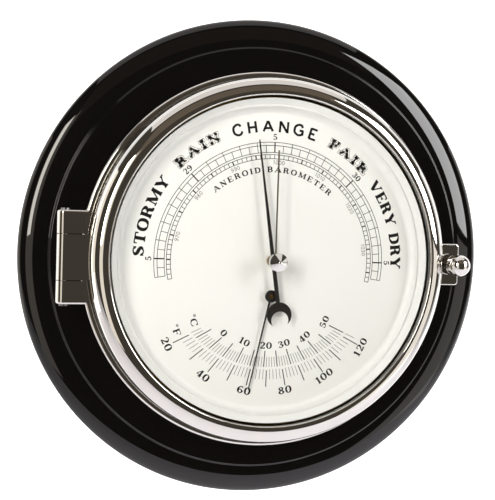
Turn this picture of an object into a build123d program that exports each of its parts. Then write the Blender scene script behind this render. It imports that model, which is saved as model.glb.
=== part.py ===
"""Ship barometer with thermometer, on a round lacquered board.

The model is drawn lying on its back: local +X is to the right of the dial, local +Y is up the
dial, and local +Z is the height above the wall. STAND then turns it upright, so that in the
written parts +Z is up and the dial faces -Y, with the origin at the centre of the board's back.
All sizes are in millimetres.
"""
from build123d import *
from math import cos, pi, radians, sin, sqrt
import os

STAND = Rot(90, 0, 0)
LOW = (Align.CENTER, Align.CENTER, Align.MIN)

# Fits and gaps
fixed_clearance = 0.1  # radial, around a piece that is fixed in its seat
running_clearance = 0.05  # radial, around a shaft that turns
moving_gap = 0.3  # between a moving piece and what it passes

# Base board
board_radius = 92.5
board_field = 15.0  # height of the flat field that carries the case
board_floor = 4.0  # wood left behind the pocket
rim_width = 10.3
rim_drop = 4.4
step_height = 1.2
step_radius = 81.05
back_chamfer = 1.5
access_radius = 2.6  # hole behind the adjusting screw

# Hanger
hanger_height = 18.0
hanger_corner = 2.0
hanger_half_width = 16.0
hanger_thickness = 1.5
keyhole_radius = 4.5
keyhole_slot = 4.4
keyhole_rise = 6.0
keyhole_cavity = 5.0
keyhole_margin = 1.2  # room for the screw's head behind the plate
hanger_screw_radius = 1.4
hanger_screw_head = 2.8
hanger_screw_length = 9.0
hanger_screw_spacing = 24.0
hanger_slot = 0.6

# Case: the cup holds the movement and hangs in the ring, which stands on the board
cup_radius = 61.5
cup_wall = 1.2
cup_flange = 2.9
cup_flange_thickness = 0.8
ring_height = 10.6
ring_wall = 2.6
ring_lip = 2.2
ring_web = 2.0
rebate_width = 6.5
rebate_depth = 1.6
lip_round = 1.0
lip_edge = 0.35
seal_width = 2.6
seal_thickness = 0.6
boss_radius = 2.8
case_screw_count = 3
case_screw_radius = 1.5
case_screw_head = 2.9
case_screw_start = 30.0  # degrees from +X
case_screw_slot = 0.7

# Hinge at the left
hinge_reach = 5.6  # from the ring's outside to the pin
hinge_rise = 0.6  # pin above the front of the ring
barrel_radius = 2.9
pin_radius = 1.1
pin_head = 0.6
knuckle_middle = 16.3
knuckle_end = 8.4
knuckle_gap = 0.25
knuckle_depth = 5.2  # depth of the end knuckles' blocks behind the pin
knuckle_round = 1.0
knuckle_blend = 2.0
knuckle_step = 0.8  # the middle knuckle's leaf is this much lower beside the bezel

# Bezel
bezel_gap = 0.36  # radial, inside the lip of the ring
bezel_lift = 0.5  # skirt's bottom below the front of the ring
bezel_straight = 4.3  # straight wall above the front of the ring
bezel_rise = 10.4
lip_inset = 0.7  # inside of the bezel's lip within the cup's outside
lip_thickness = 0.6
glass_overlap = 2.2
glass_thickness = 1.8
gasket_thickness = 0.6
retainer_thickness = 1.4
retainer_width = 1.9

# Closing screw at the right
screw_reach = 1.7  # from the ring's outside to the screw's axis
lug_reach = 4.6
lug_height = 16.1
lug_thickness = 4.3
lug_corner = 1.3
lug_edge = 0.5
case_lug_inset = 0.4
screw_radius = 1.6
screw_clearance = 0.2
screw_engagement = 2.0
collar_radius = 3.9
collar_height = 3.0
collar_flutes = 24
flute_radius = 0.35
knob_radius = 4.1
knob_straight = 3.1
knob_groove = 0.5
washer_thickness = 0.35
washer_radius = 3.4
clip_radius = 2.2
clip_thickness = 0.4
screw_travel = 2.1  # lifts the screw clear of the case
screw_relief = 1.0  # of the hole below the screw's end

# Dial
dial_rise = 1.4  # dial's face above the front of the ring
dial_thickness = 1.0
dial_gap = 0.3
ledge_width = 2.2
ledge_thickness = 1.2
cove_inset = 6.5  # foot of the cove within the cup's outside
cove_height = 4.0
cove_reach = 2.3
flare_step = 0.6
flare_height = 2.2
flare_reach = 2.0
thermometer_drop = 13.2  # below the centre of the dial

# Hands
hand_height = 2.7  # back of the barometer hand above the dial
hand_thickness = 0.4
hand_tip_gap = 9.8  # from the tip to the foot of the cove
hand_tip_width = 0.4
hand_root_width = 1.5
hand_angle = 8.5  # degrees to the left of upright
tail_length = 16.0
crescent_centre = 20.3
crescent_radius = 4.75
bite_centre = 22.35
bite_radius = 3.35
collet_radius = 2.1
collet_height = 1.0
arbor_radius = 0.6
thermometer_tip_gap = 5.8
thermometer_hand_width = 0.7
thermometer_hand_height = 1.1
thermometer_hand_thickness = 0.3
thermometer_angle = 12.2  # degrees to the left of straight down
thermometer_boss = 1.85
hub_radius = 2.3
hub_thickness = 0.7
hub_pin_radius = 0.8

# Set pointer in the glass
set_shaft_radius = 1.0
set_tip_gap = 14.1
set_hand_width = 0.55
set_hand_thickness = 0.3
set_hand_gap = 0.4  # below the glass
set_boss_radius = 1.6
set_nut_radius = 2.0
set_nut_thickness = 0.5
set_washer_radius = 2.6
set_washer_thickness = 0.3
set_knob_radius = 3.35
set_knob_height = 2.2
set_knob_cone = 2.6

# Movement
plate_radius = 26.0
plate_thickness = 1.5
plate_screw_radius = 1.0
plate_screw_head = 1.9
plate_screw_circle = 23.0
plate_screw_angles = (45, 135, 225, 315)
capsule_x = -3.5
capsule_radius = 17.2
capsule_post = 2.3
capsule_half = 1.6
capsule_wave = 0.45
capsule_waves = 4
capsule_rim = 1.0
capsule_boss = 3.0
post_radius = 3.6
adjuster_radius = 2.0
adjuster_head = 3.4
adjuster_slot = 0.8
stud_radius = 1.5
stud_gap = 0.6
spring_root = -21.0
spring_tip = 6.0
spring_half_width = 6.0
spring_thickness = 1.2
spring_height = 8.95  # bottom of the spring above the base plate
clamp_length = 6.0
clamp_gap = 0.2
clamp_thickness = 1.4
spring_pin_radius = 0.7
lever_start = -6.0
lever_end = 20.5
lever_half_width = 2.5
lever_thickness = 1.0
link_radius = 0.5
rocker_x = 24.0
rocker_height = 5.8  # rocking arbor above the base plate
rocker_radius = 0.8
rocker_half_length = 10.0
rocker_short = 4.5  # from the rocking arbor to the link
rocker_arm_width = 1.0
bracket_thickness = 1.2
drum_radius = 0.7
drum_height = 1.4
drum_lift = 0.9  # above the lower bridge
chain_width = 0.4
chain_thickness = 0.4
chain_gap = 0.1
bridge_height = 12.3  # lower bridge above the base plate
bridge_half_length = 24.5
bridge_half_width = 3.5
bridge_disc = 13.0
bridge_thickness = 1.0
pillar_radius = 2.0
pillar_y = 21.5
train_height = 2.9
train_pillar_radius = 1.4
train_pillar_reach = 10.0
train_bridge_angle = -36.87
train_bridge_half_width = 2.5
hairspring_inner = 1.7
hairspring_outer = 5.0
hairspring_turns = 4
hairspring_width = 0.25
hairspring_height = 0.3
coil_inner = 1.3
coil_outer = 5.8
coil_turns = 4
coil_width = 0.35
coil_height = 2.2
coil_gap = 1.2  # behind the dial
strap_half_width = 2.3
strap_wall = 1.2
bracket_half_width = 8.0

# Heights above the wall and radii that follow from the sizes above
ring_front = board_field + ring_height
rebate_floor = ring_front - rebate_depth
dial_front = ring_front + dial_rise
dial_back = dial_front - dial_thickness
bezel_front = ring_front + bezel_rise
bezel_bottom = ring_front - bezel_lift
glass_front = bezel_front - lip_thickness
glass_back = glass_front - glass_thickness
cup_back = board_floor + cup_wall
plate_front = cup_back + plate_thickness
cup_inner = cup_radius - cup_wall
pocket_radius = cup_radius + 5 * fixed_clearance
ring_outer = cup_radius + 2 * fixed_clearance + rebate_width + ring_lip
rebate_radius = ring_outer - ring_lip
bezel_outer = rebate_radius - bezel_gap
bezel_lip = cup_radius - lip_inset
glass_radius = bezel_lip + glass_overlap
bezel_bore = glass_radius + fixed_clearance
cove_foot = cup_radius - cove_inset
hand_length = cove_foot - hand_tip_gap
thermometer_hand_length = cove_foot - thermometer_drop - thermometer_tip_gap
set_hand_length = cove_foot - set_tip_gap
boss_circle = (pocket_radius + ring_outer - ring_wall) / 2
hanger_y = (pocket_radius + board_radius) / 2
pin_x = -(ring_outer + hinge_reach)
pin_z = ring_front + hinge_rise
hinge_front = pin_z + barrel_radius
hinge_half = knuckle_middle / 2 + knuckle_gap + knuckle_end
screw_x = ring_outer + screw_reach
lug_end = ring_outer + lug_reach
lug_back = ring_front + bezel_lift
clip_space = screw_travel + clip_thickness + moving_gap
lug_front = lug_back + lug_thickness
capsule_z = plate_front + capsule_post + capsule_half
capsule_front = capsule_z + capsule_half
spring_z = plate_front + spring_height
lever_z = spring_z + spring_thickness
rocker_z = plate_front + rocker_height
bridge_z = plate_front + bridge_height
bridge_front = bridge_z + bridge_thickness
train_z = bridge_front + train_height
drum_z = bridge_front + drum_lift
chain_z = drum_z + drum_height / 2
link_x = rocker_x - rocker_short
pivot_x = spring_root - clamp_length / 2
coil_top = dial_back - coil_gap
hand_z = dial_front + hand_height
set_hand_z = glass_back - set_hand_gap - set_hand_thickness


def disc(radius, low, high, x=0.0, y=0.0):
    """A solid cylinder that stands between two heights."""
    return Pos(x, y, low) * Cylinder(radius, high - low, align=LOW)


def ring(inner, outer, low, high, x=0.0, y=0.0):
    """A flat ring between two heights."""
    return disc(outer, low, high, x, y) - disc(inner, low, high, x, y)


def block(x0, x1, y0, y1, low, high):
    """A box from its limits."""
    centre = Pos((x0 + x1) / 2, (y0 + y1) / 2, low)
    return centre * Box(x1 - x0, y1 - y0, high - low, align=LOW)


def turned(*edges):
    """A solid of revolution about local Z, from edges drawn as radius and height."""
    return revolve(Plane.XZ * make_face(Wire(edges)), Axis.Z)


def corner(centre, radius, start, end):
    """A quarter or other arc of a turned profile, from one angle to another."""
    return CenterArc(centre, radius, start, end - start)


def oval(centre, width, height, start):
    """A quarter of an ellipse of a turned profile, from a start angle."""
    return EllipticalCenterArc(centre, width, height, start, arc_size=90)


def polar(radius, angle, centre=(0.0, 0.0)):
    """A point at a radius and an angle in degrees."""
    return (
        centre[0] + radius * cos(radians(angle)),
        centre[1] + radius * sin(radians(angle)),
    )


def spiral(inner, outer, turns, width, low, high, x=0.0, y=0.0):
    """A flat strip wound in a spiral."""
    steps = 12 * turns
    outside, inside = [], []
    for step in range(steps + 1):
        share = step / steps
        radius = inner + (outer - inner) * share
        outside.append(polar(radius + width / 2, 360 * turns * share, (x, y)))
        inside.append(polar(radius - width / 2, 360 * turns * share, (x, y)))
    edges = [
        Spline(outside),
        Line(outside[-1], inside[-1]),
        Spline(inside[::-1]),
        Line(inside[0], outside[0]),
    ]
    return Pos(0, 0, low) * extrude(make_face(Wire(edges)), high - low)


def case_screw_places():
    """Where the screws come up from the board into the ring."""
    pitch = 360 / case_screw_count
    return [polar(boss_circle, case_screw_start + pitch * n) for n in range(case_screw_count)]


# Board and hanger


def base_board():
    """The turned board: round-over, step, flat field and the pocket for the cup."""
    shoulder = board_field - step_height
    widest = shoulder - rim_drop
    bend = step_height / 2
    inner_rim = board_radius - rim_width
    board = turned(
        Line((0, 0), (board_radius - back_chamfer, 0)),
        Line((board_radius - back_chamfer, 0), (board_radius, back_chamfer)),
        Line((board_radius, back_chamfer), (board_radius, widest)),
        oval((inner_rim, widest), rim_width, rim_drop, 0),
        Line((inner_rim, shoulder), (step_radius + bend, shoulder)),
        corner((step_radius + bend, shoulder + bend), bend, 270, 180),
        corner((step_radius - bend, shoulder + bend), bend, 0, 90),
        Line((step_radius - bend, board_field), (0, board_field)),
        Line((0, board_field), (0, 0)),
    )
    board -= disc(pocket_radius, board_floor, board_field)
    board -= disc(access_radius, 0, board_floor, capsule_x)
    board -= hanger_outline(hanger_thickness, fixed_clearance)
    board -= keyhole(keyhole_cavity, keyhole_margin)
    for x in (-hanger_screw_spacing / 2, hanger_screw_spacing / 2):
        board -= disc(hanger_screw_radius, 0, hanger_screw_length, x, hanger_y)
    for x, y in case_screw_places():
        board -= disc(case_screw_radius + fixed_clearance, 0, board_field, x, y)
        board -= screw_head(case_screw_head + fixed_clearance, case_screw_radius, x, y)
    return board


def screw_head(head, shank, x, y, low=0.0):
    """A countersunk head that is flush with a face at height low."""
    return Pos(x, y, low) * Cone(head, shank, head - shank, align=LOW)


def screw_slot(head, width, x, y):
    """The driver's slot in a head that faces the wall."""
    return block(x - head, x + head, y - width / 2, y + width / 2, 0, width)


def hanger_outline(depth, margin):
    """The plate's outline with a margin, from the board's back inwards."""
    outline = RectangleRounded(2 * (hanger_half_width + margin), hanger_height + 2 * margin,
                               hanger_corner)
    return Pos(0, hanger_y, 0) * extrude(outline, depth)


def keyhole(depth, margin):
    """The keyhole's space with a margin, from the board's back inwards."""
    low, high = hanger_y - keyhole_rise / 2, hanger_y + keyhole_rise / 2
    half = keyhole_slot / 2 + margin
    space = disc(keyhole_radius + margin, 0, depth, 0, low)
    return space + block(-half, half, low, high, 0, depth) + disc(half, 0, depth, 0, high)


def hanger_plate():
    """The keyhole plate, let into the board's back."""
    plate = hanger_outline(hanger_thickness, 0) - keyhole(hanger_thickness, 0)
    for x in (-hanger_screw_spacing / 2, hanger_screw_spacing / 2):
        plate -= disc(hanger_screw_radius, 0, hanger_thickness, x, hanger_y)
        plate -= screw_head(hanger_screw_head, hanger_screw_radius, x, hanger_y)
    return plate


def hanger_screws():
    """Two countersunk wood screws through the hanger plate."""
    screws = []
    for x in (-hanger_screw_spacing / 2, hanger_screw_spacing / 2):
        screw = disc(hanger_screw_radius, 0, hanger_screw_length, x, hanger_y)
        screw += screw_head(hanger_screw_head, hanger_screw_radius, x, hanger_y)
        screw -= screw_slot(hanger_screw_head, hanger_slot, x, hanger_y)
        screws.append(screw)
    return Compound(screws)


def case_screws():
    """The machine screws that come through the board into the ring's bosses."""
    screws = []
    for x, y in case_screw_places():
        screw = disc(case_screw_radius, 0, rebate_floor - ring_web, x, y)
        screw += screw_head(case_screw_head, case_screw_radius, x, y)
        screw -= screw_slot(case_screw_head, case_screw_slot, x, y)
        screws.append(screw)
    return Compound(screws)


# Case


def case_ring():
    """The cast ring with its lip, rebate, bosses, end knuckles and the lug for the screw."""
    inner = ring_outer - ring_wall
    web_inner = cup_radius + 2 * fixed_clearance
    web_back = rebate_floor - ring_web
    body = turned(
        Line((ring_outer, board_field), (ring_outer, ring_front - lip_round)),
        corner((ring_outer - lip_round, ring_front - lip_round), lip_round, 0, 90),
        Line((ring_outer - lip_round, ring_front), (rebate_radius + lip_edge, ring_front)),
        corner((rebate_radius + lip_edge, ring_front - lip_edge), lip_edge, 90, 180),
        Line((rebate_radius, ring_front - lip_edge), (rebate_radius, rebate_floor)),
        Line((rebate_radius, rebate_floor), (web_inner, rebate_floor)),
        Line((web_inner, rebate_floor), (web_inner, web_back)),
        Line((web_inner, web_back), (inner, web_back)),
        Line((inner, web_back), (inner, board_field)),
        Line((inner, board_field), (ring_outer, board_field)),
    )
    body += end_knuckles()
    body += case_lug()
    for x, y in case_screw_places():
        body += disc(boss_radius, board_field, web_back, x, y)
        body -= disc(case_screw_radius, board_field, web_back, x, y)
    body -= hinge_hole(0)
    body -= disc(screw_radius + screw_clearance, ring_front - screw_engagement - screw_relief,
                 ring_front, screw_x)
    return body


def hinge_hole(clearance):
    """The hole for the hinge pin, along the whole hinge."""
    return Pos(pin_x, 0, pin_z) * Rot(90, 0, 0) * Cylinder(pin_radius + clearance, 3 * hinge_half)


def knuckle_section(inner_x, low, high):
    """A knuckle's section: the barrel and the leaf that joins it to a ring."""
    barrel = Pos(pin_x, pin_z) * Circle(barrel_radius)
    leaf = Pos((pin_x + inner_x) / 2, (low + high) / 2) * Rectangle(inner_x - pin_x, high - low)
    return barrel + leaf


def knuckle(y0, y1, inner_x, low, high):
    """A knuckle between two heights along the hinge."""
    section = Plane.XZ * knuckle_section(inner_x, low, high)
    return Pos(0, y1, 0) * extrude(section, y1 - y0)


def end_knuckles():
    """The two outer knuckles, blended into the side of the ring."""
    low = pin_z - knuckle_depth
    inner_x = -(ring_outer - ring_lip - 2 * barrel_radius)
    knuckles = []
    for side in (-1, 1):
        start = side * (knuckle_middle / 2 + knuckle_gap)
        end = side * hinge_half
        piece = knuckle(min(start, end), max(start, end), inner_x, low, hinge_front)
        piece = fillet(outer_end_edges(piece, side), knuckle_round)
        piece -= disc(rebate_radius, 0, 2 * hinge_front)
        piece -= disc(ring_outer - lip_edge, ring_front, 2 * hinge_front)
        knuckles.append(piece + knuckle_web(side, low))
    return knuckles[0] + knuckles[1]


def outer_end_edges(piece, side):
    """The edges round the barrel at the hinge's end, which are rounded off."""
    ends = piece.edges().group_by(Axis.Y)[-1 if side > 0 else 0]
    return ends.filter_by(GeomType.CIRCLE)


def knuckle_web(side, low):
    """A small concave blend between an end knuckle and the ring."""
    centre_y = hinge_half + knuckle_blend
    centre_x = -sqrt((ring_outer + knuckle_blend) ** 2 - centre_y**2)
    share = ring_outer / (ring_outer + knuckle_blend)
    outline = Polyline(
        (centre_x, hinge_half),
        (centre_x * share, centre_y * share),
        (centre_x * share + knuckle_blend, hinge_half - knuckle_blend),
        (centre_x, hinge_half - knuckle_blend / 2),
        close=True,
    )
    web = Pos(0, 0, low) * extrude(make_face(outline), ring_front - lip_round - low)
    web -= disc(knuckle_blend, low, ring_front, centre_x, centre_y)
    return web if side > 0 else mirror(web, Plane.XZ)


def lug_plate(end, half_height, low, high):
    """A round-cornered plate from inside a ring out to its end."""
    start = ring_outer - 2 * lug_reach
    plate = RectangleRounded(end - start, 2 * half_height, lug_corner)
    solid = Pos((start + end) / 2, 0, low) * extrude(plate, high - low)
    return fillet(solid.edges().group_by(Axis.Z)[-1], lug_edge)


def case_lug():
    """The block beside the ring that takes the closing screw."""
    block_ = lug_plate(lug_end - case_lug_inset, lug_height / 2 - case_lug_inset,
                       board_field + case_lug_inset, ring_front)
    return block_ - disc(rebate_radius, 0, bezel_front)


def case_cup():
    """The cup for the movement, with the flange that hangs it and the ledge for the dial."""
    flange_top = rebate_floor + cup_flange_thickness
    ledge = dial_back - ledge_thickness
    cup = disc(cup_radius, board_floor, flange_top)
    cup -= disc(cup_inner, cup_back, flange_top)
    cup += ring(cup_radius - cup_wall / 2, cup_radius + cup_flange, rebate_floor, flange_top)
    cup += ring(cup_inner, cup_radius, flange_top, dial_front)
    cup += ring(cup_inner - ledge_width, cup_inner + cup_wall / 2, ledge, dial_back)
    cup -= disc(adjuster_head + 2 * fixed_clearance, board_floor, cup_back, capsule_x)
    for angle in plate_screw_angles:
        x, y = polar(plate_screw_circle, angle)
        cup -= disc(plate_screw_radius, board_floor, cup_back, x, y)
    return cup


def door_seal():
    """The soft ring that the closed bezel nearly touches."""
    inner = cup_radius + cup_flange + fixed_clearance
    return ring(inner, inner + seal_width, rebate_floor, rebate_floor + seal_thickness)


def hinge_pin():
    """The pin through the three knuckles, with a low head at each end."""
    pin = Cylinder(pin_radius, 2 * hinge_half)
    for side in (-1, 1):
        head = Pos(0, 0, side * (hinge_half + pin_head / 2))
        pin += head * Cylinder(1.5 * pin_radius, pin_head)
    return Pos(pin_x, 0, pin_z) * Rot(90, 0, 0) * pin


# Bezel and glass


def bezel_ring():
    """The hinged bezel: skirt, rounded front, inner lip, middle knuckle and screw lug."""
    crown = bezel_front - ring_front - bezel_straight
    shoulder = bezel_lip + lip_thickness
    body = turned(
        Line((bezel_bore, bezel_bottom), (bezel_outer, bezel_bottom)),
        Line((bezel_outer, bezel_bottom), (bezel_outer, ring_front + bezel_straight)),
        oval((shoulder, ring_front + bezel_straight), bezel_outer - shoulder, crown, 0),
        corner((shoulder, glass_front), lip_thickness, 90, 180),
        Line((bezel_lip, glass_front), (bezel_bore, glass_front)),
        Line((bezel_bore, glass_front), (bezel_bore, bezel_bottom)),
    )
    inner_x = -(bezel_outer - (bezel_outer - bezel_bore) / 2)
    leaf = knuckle(-knuckle_middle / 2, knuckle_middle / 2, inner_x, lug_back, hinge_front)
    body += leaf - disc(ring_outer, hinge_front - knuckle_step, hinge_front)
    body -= hinge_hole(running_clearance)
    lug = lug_plate(lug_end, lug_height / 2, lug_back, lug_front)
    body += lug - disc((bezel_outer + bezel_bore) / 2, 0, 2 * bezel_front)
    body -= disc(screw_radius + screw_clearance, lug_back, lug_front, screw_x)
    body -= disc(clip_radius + moving_gap, lug_back, lug_back + clip_space, screw_x)
    return body


def glass():
    """The flat glass, bored for the set pointer's shaft."""
    return ring(set_shaft_radius + running_clearance, glass_radius, glass_back, glass_front)


def glass_gasket():
    """The soft ring between the glass and its retainer."""
    inner = glass_radius - retainer_width
    return ring(inner, glass_radius, glass_back - gasket_thickness, glass_back)


def glass_retainer():
    """The ring that holds the glass in from behind."""
    top = glass_back - gasket_thickness
    return ring(glass_radius - retainer_width, glass_radius, top - retainer_thickness, top)


# Closing screw


def closing_screw():
    """The knurled and domed knob with its shank."""
    low = lug_front + washer_thickness
    collar_top = low + collar_height
    crown_base = collar_top + knob_straight
    knob = turned(
        Line((0, collar_top - knob_groove), (collar_radius, collar_top - knob_groove)),
        Line((collar_radius, collar_top - knob_groove), (knob_radius - knob_groove, collar_top)),
        Line((knob_radius - knob_groove, collar_top), (knob_radius, collar_top + knob_groove)),
        Line((knob_radius, collar_top + knob_groove), (knob_radius, crown_base)),
        corner((0, crown_base), knob_radius, 0, 90),
        Line((0, crown_base + knob_radius), (0, collar_top - knob_groove)),
    )
    outline = Circle(collar_radius)
    for number in range(collar_flutes):
        outline -= Pos(*polar(collar_radius, 360 * (number + 0.5) / collar_flutes)) * Circle(
            flute_radius
        )
    knob += Pos(0, 0, low) * extrude(outline, collar_height - knob_groove)
    knob += disc(screw_radius, ring_front - screw_engagement, low)
    return Pos(screw_x, 0, 0) * knob


def screw_washer():
    """The washer between the knob and the lug."""
    inner = screw_radius + running_clearance
    return ring(inner, washer_radius, lug_front, lug_front + washer_thickness, screw_x)


def screw_clip():
    """The clip in the lug's counterbore that keeps the screw captive."""
    low = lug_back + moving_gap / 2
    return ring(screw_radius + running_clearance, clip_radius, low, low + clip_thickness, screw_x)


# Set pointer


def set_knob():
    """The turned knob in the middle of the glass, with a conical face."""
    low = glass_front + set_washer_thickness
    shoulder = low + set_knob_height
    return turned(
        Line((0, low), (set_knob_radius, low)),
        Line((set_knob_radius, low), (set_knob_radius, shoulder)),
        Line((set_knob_radius, shoulder), (0, shoulder + set_knob_cone)),
        Line((0, shoulder + set_knob_cone), (0, low)),
    )


def set_shaft():
    """The shaft through the glass, which carries knob and hand."""
    return disc(set_shaft_radius, set_hand_z - set_nut_thickness, glass_front + set_washer_thickness)


def set_washer():
    """The friction washer under the knob."""
    low = glass_front
    return ring(set_shaft_radius, set_washer_radius, low, low + set_washer_thickness)


def set_hand():
    """The slim hand on the inside of the glass."""
    half = set_hand_width / 2
    blade = block(-half, half, 0, set_hand_length, set_hand_z, set_hand_z + set_hand_thickness)
    blade += disc(set_boss_radius, set_hand_z, set_hand_z + set_hand_thickness)
    return blade - disc(set_shaft_radius, set_hand_z, set_hand_z + set_hand_thickness)


def set_nut():
    """The nut that holds the set hand on its shaft."""
    return ring(set_shaft_radius, set_nut_radius, set_hand_z - set_nut_thickness, set_hand_z)


# Dial and hands


def dial_plate():
    """The flat dial, bored for the two arbors."""
    plate = disc(cup_inner - dial_gap, dial_back, dial_front)
    plate -= disc(arbor_radius + moving_gap, dial_back, dial_front)
    return plate - disc(hub_pin_radius + moving_gap, dial_back, dial_front, 0, -thermometer_drop)


def dial_ring():
    """The coved and flared ring that stands round the dial."""
    crease = cove_foot + cove_reach
    top = dial_front + cove_height + flare_height
    flare = crease + flare_step
    outer = cup_inner - dial_gap
    return turned(
        oval((cove_foot, dial_front + cove_height), cove_reach, cove_height, 270),
        Line((crease, dial_front + cove_height), (flare, dial_front + cove_height)),
        Line((flare, dial_front + cove_height), (flare + flare_reach, top)),
        Line((flare + flare_reach, top), (outer, top)),
        Line((outer, top), (outer, dial_front)),
        Line((outer, dial_front), (cove_foot, dial_front)),
    )


def barometer_hand():
    """The long hand with its tail and crescent counterweight."""
    tip, root = hand_tip_width / 2, hand_root_width / 2
    blade = Polyline(
        (-tip, hand_length), (tip, hand_length), (root, 0), (root, -tail_length),
        (-root, -tail_length), (-root, 0), close=True,
    )
    flat = make_face(blade) + Circle(collet_radius)
    crescent = Pos(0, -crescent_centre) * Circle(crescent_radius)
    flat += crescent - Pos(0, -bite_centre) * Circle(bite_radius)
    hand = extrude(flat, hand_thickness) - disc(arbor_radius, 0, hand_thickness)
    return Pos(0, 0, hand_z) * Rot(0, 0, hand_angle) * hand


def hand_collet():
    """The collet that presses the barometer hand on its arbor."""
    low = dial_front + collet_height
    return ring(arbor_radius, collet_radius, low, hand_z)


def pointer_arbor():
    """The arbor of the barometer hand with the drum that the chain pulls."""
    arbor = disc(arbor_radius, bridge_z + bridge_thickness / 4, hand_z + hand_thickness)
    return arbor + disc(drum_radius, drum_z, drum_z + drum_height)


def thermometer_hand():
    """The slim lower hand."""
    half = thermometer_hand_width / 2
    low = dial_front + thermometer_hand_height
    blade = Polyline(
        (-half, 0), (half, 0), (half / 2, -thermometer_hand_length),
        (-half / 2, -thermometer_hand_length), close=True,
    )
    flat = make_face(blade) + Circle(thermometer_boss)
    hand = extrude(flat, thermometer_hand_thickness)
    hand -= disc(hub_pin_radius, 0, thermometer_hand_thickness)
    return Pos(0, -thermometer_drop, low) * Rot(0, 0, -thermometer_angle) * hand


def thermometer_hub():
    """The black cap over the lower hand."""
    low = dial_front + thermometer_hand_height + thermometer_hand_thickness
    return ring(hub_pin_radius, hub_radius, low, low + hub_thickness, 0, -thermometer_drop)


def thermometer_arbor():
    """The brass arbor of the lower hand."""
    high = dial_front + thermometer_hand_height + thermometer_hand_thickness + hub_thickness
    low = coil_top - coil_height - 2 * bracket_thickness
    return disc(hub_pin_radius, low, high, 0, -thermometer_drop)


# Movement


def base_plate():
    """The movement's base plate, on the cup's back."""
    plate = disc(plate_radius, cup_back, plate_front)
    plate -= disc(adjuster_radius + running_clearance, cup_back, plate_front, capsule_x)
    for angle in plate_screw_angles:
        x, y = polar(plate_screw_circle, angle)
        plate -= disc(plate_screw_radius, cup_back, plate_front, x, y)
    return plate


def movement_screws():
    """The screws that hold the movement in the cup."""
    screws = []
    for angle in plate_screw_angles:
        x, y = polar(plate_screw_circle, angle)
        screw = disc(plate_screw_radius, board_floor, plate_front, x, y)
        screw += disc(plate_screw_head, plate_front, plate_front + plate_screw_radius, x, y)
        screws.append(screw)
    return Compound(screws)


def capsule_seat():
    """The threaded post under the capsule, which the adjusting screw bears in."""
    top = plate_front + capsule_post
    post = disc(post_radius, plate_front, top, capsule_x)
    return post - disc(adjuster_radius + running_clearance, plate_front, top, capsule_x)


def adjusting_screw():
    """The slotted screw that is reached from the back of the board."""
    head_low = board_floor + fixed_clearance
    screw = disc(adjuster_head, head_low, cup_back - fixed_clearance, capsule_x)
    screw -= block(capsule_x - adjuster_head, capsule_x + adjuster_head, -adjuster_slot / 2,
                   adjuster_slot / 2, head_low, head_low + adjuster_slot / 2)
    return screw + disc(adjuster_radius, cup_back - fixed_clearance,
                        plate_front + capsule_post - fixed_clearance, capsule_x)


def aneroid_capsule():
    """The evacuated capsule with corrugated faces."""
    waves = [(0, capsule_half)]
    steps = 8 * capsule_waves
    for step in range(steps + 1):
        share = step / steps
        radius = capsule_boss + (capsule_radius - capsule_rim - capsule_boss) * share
        dip = capsule_wave * (1 - cos(2 * pi * capsule_waves * share)) / 2
        waves.append((radius, capsule_half - dip))
    waves.append((capsule_radius, capsule_half))
    mirrored = [(radius, -height) for radius, height in waves[::-1]]
    outline = Polyline(*waves, *mirrored, close=True)
    capsule = revolve(Plane.XZ * make_face(outline), Axis.Z)
    return Pos(capsule_x, 0, capsule_z) * capsule


def capsule_stud():
    """The stud that carries the capsule's pull to the main spring."""
    return disc(stud_radius, capsule_front + stud_gap, spring_z, capsule_x)


def spring_pillar():
    """The block that carries the root of the main spring."""
    return block(spring_root - clamp_length, spring_root, -spring_half_width,
                 spring_half_width, plate_front, spring_z - clamp_gap)


def spring_pin(clearance, reach):
    """The cross pin through the root of the main spring, with a clearance round it."""
    pin = Cylinder(spring_pin_radius + clearance, 2 * reach)
    return Pos(pivot_x, 0, spring_z + spring_thickness / 2) * Rot(90, 0, 0) * pin


def spring_clamp():
    """The bar over the root of the main spring, and its two posts."""
    low = spring_z + spring_thickness + clamp_gap
    outer = spring_half_width + clamp_gap + clamp_thickness
    clamp = block(spring_root - clamp_length, spring_root, -outer, outer, low,
                  low + clamp_thickness)
    for side in (-1, 1):
        edges = sorted((side * (spring_half_width + clamp_gap), side * outer))
        clamp += block(spring_root - clamp_length, spring_root, *edges, plate_front, low)
    return clamp - spring_pin(running_clearance, outer)


def main_spring():
    """The stiff leaf that holds the capsule open, with the pin through its root."""
    leaf = block(spring_root - clamp_length + clamp_gap, spring_tip,
                 -spring_half_width + clamp_gap, spring_half_width - clamp_gap, spring_z, lever_z)
    return leaf + spring_pin(0, spring_half_width + clamp_gap + clamp_thickness)


def main_lever():
    """The lever riveted on the spring, with the link at its end."""
    lever = block(lever_start, lever_end, -lever_half_width, lever_half_width, lever_z,
                  lever_z + lever_thickness)
    return lever + disc(link_radius, rocker_z + 2 * rocker_radius, lever_z, link_x)


def rocking_bar():
    """The cross arbor with its short arm, and the long arm that pulls the chain."""
    arbor = Cylinder(rocker_radius, 2 * rocker_half_length)
    bar = Pos(rocker_x, 0, rocker_z) * Rot(90, 0, 0) * arbor
    half = rocker_arm_width / 2
    bar += block(link_x - half, rocker_x, -half, half, rocker_z - half, rocker_z + half)
    arm_y = -(drum_radius + chain_gap + chain_width / 2)
    return bar + block(rocker_x - half, rocker_x + half, arm_y - half, arm_y + half, rocker_z,
                       chain_z + half)


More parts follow.
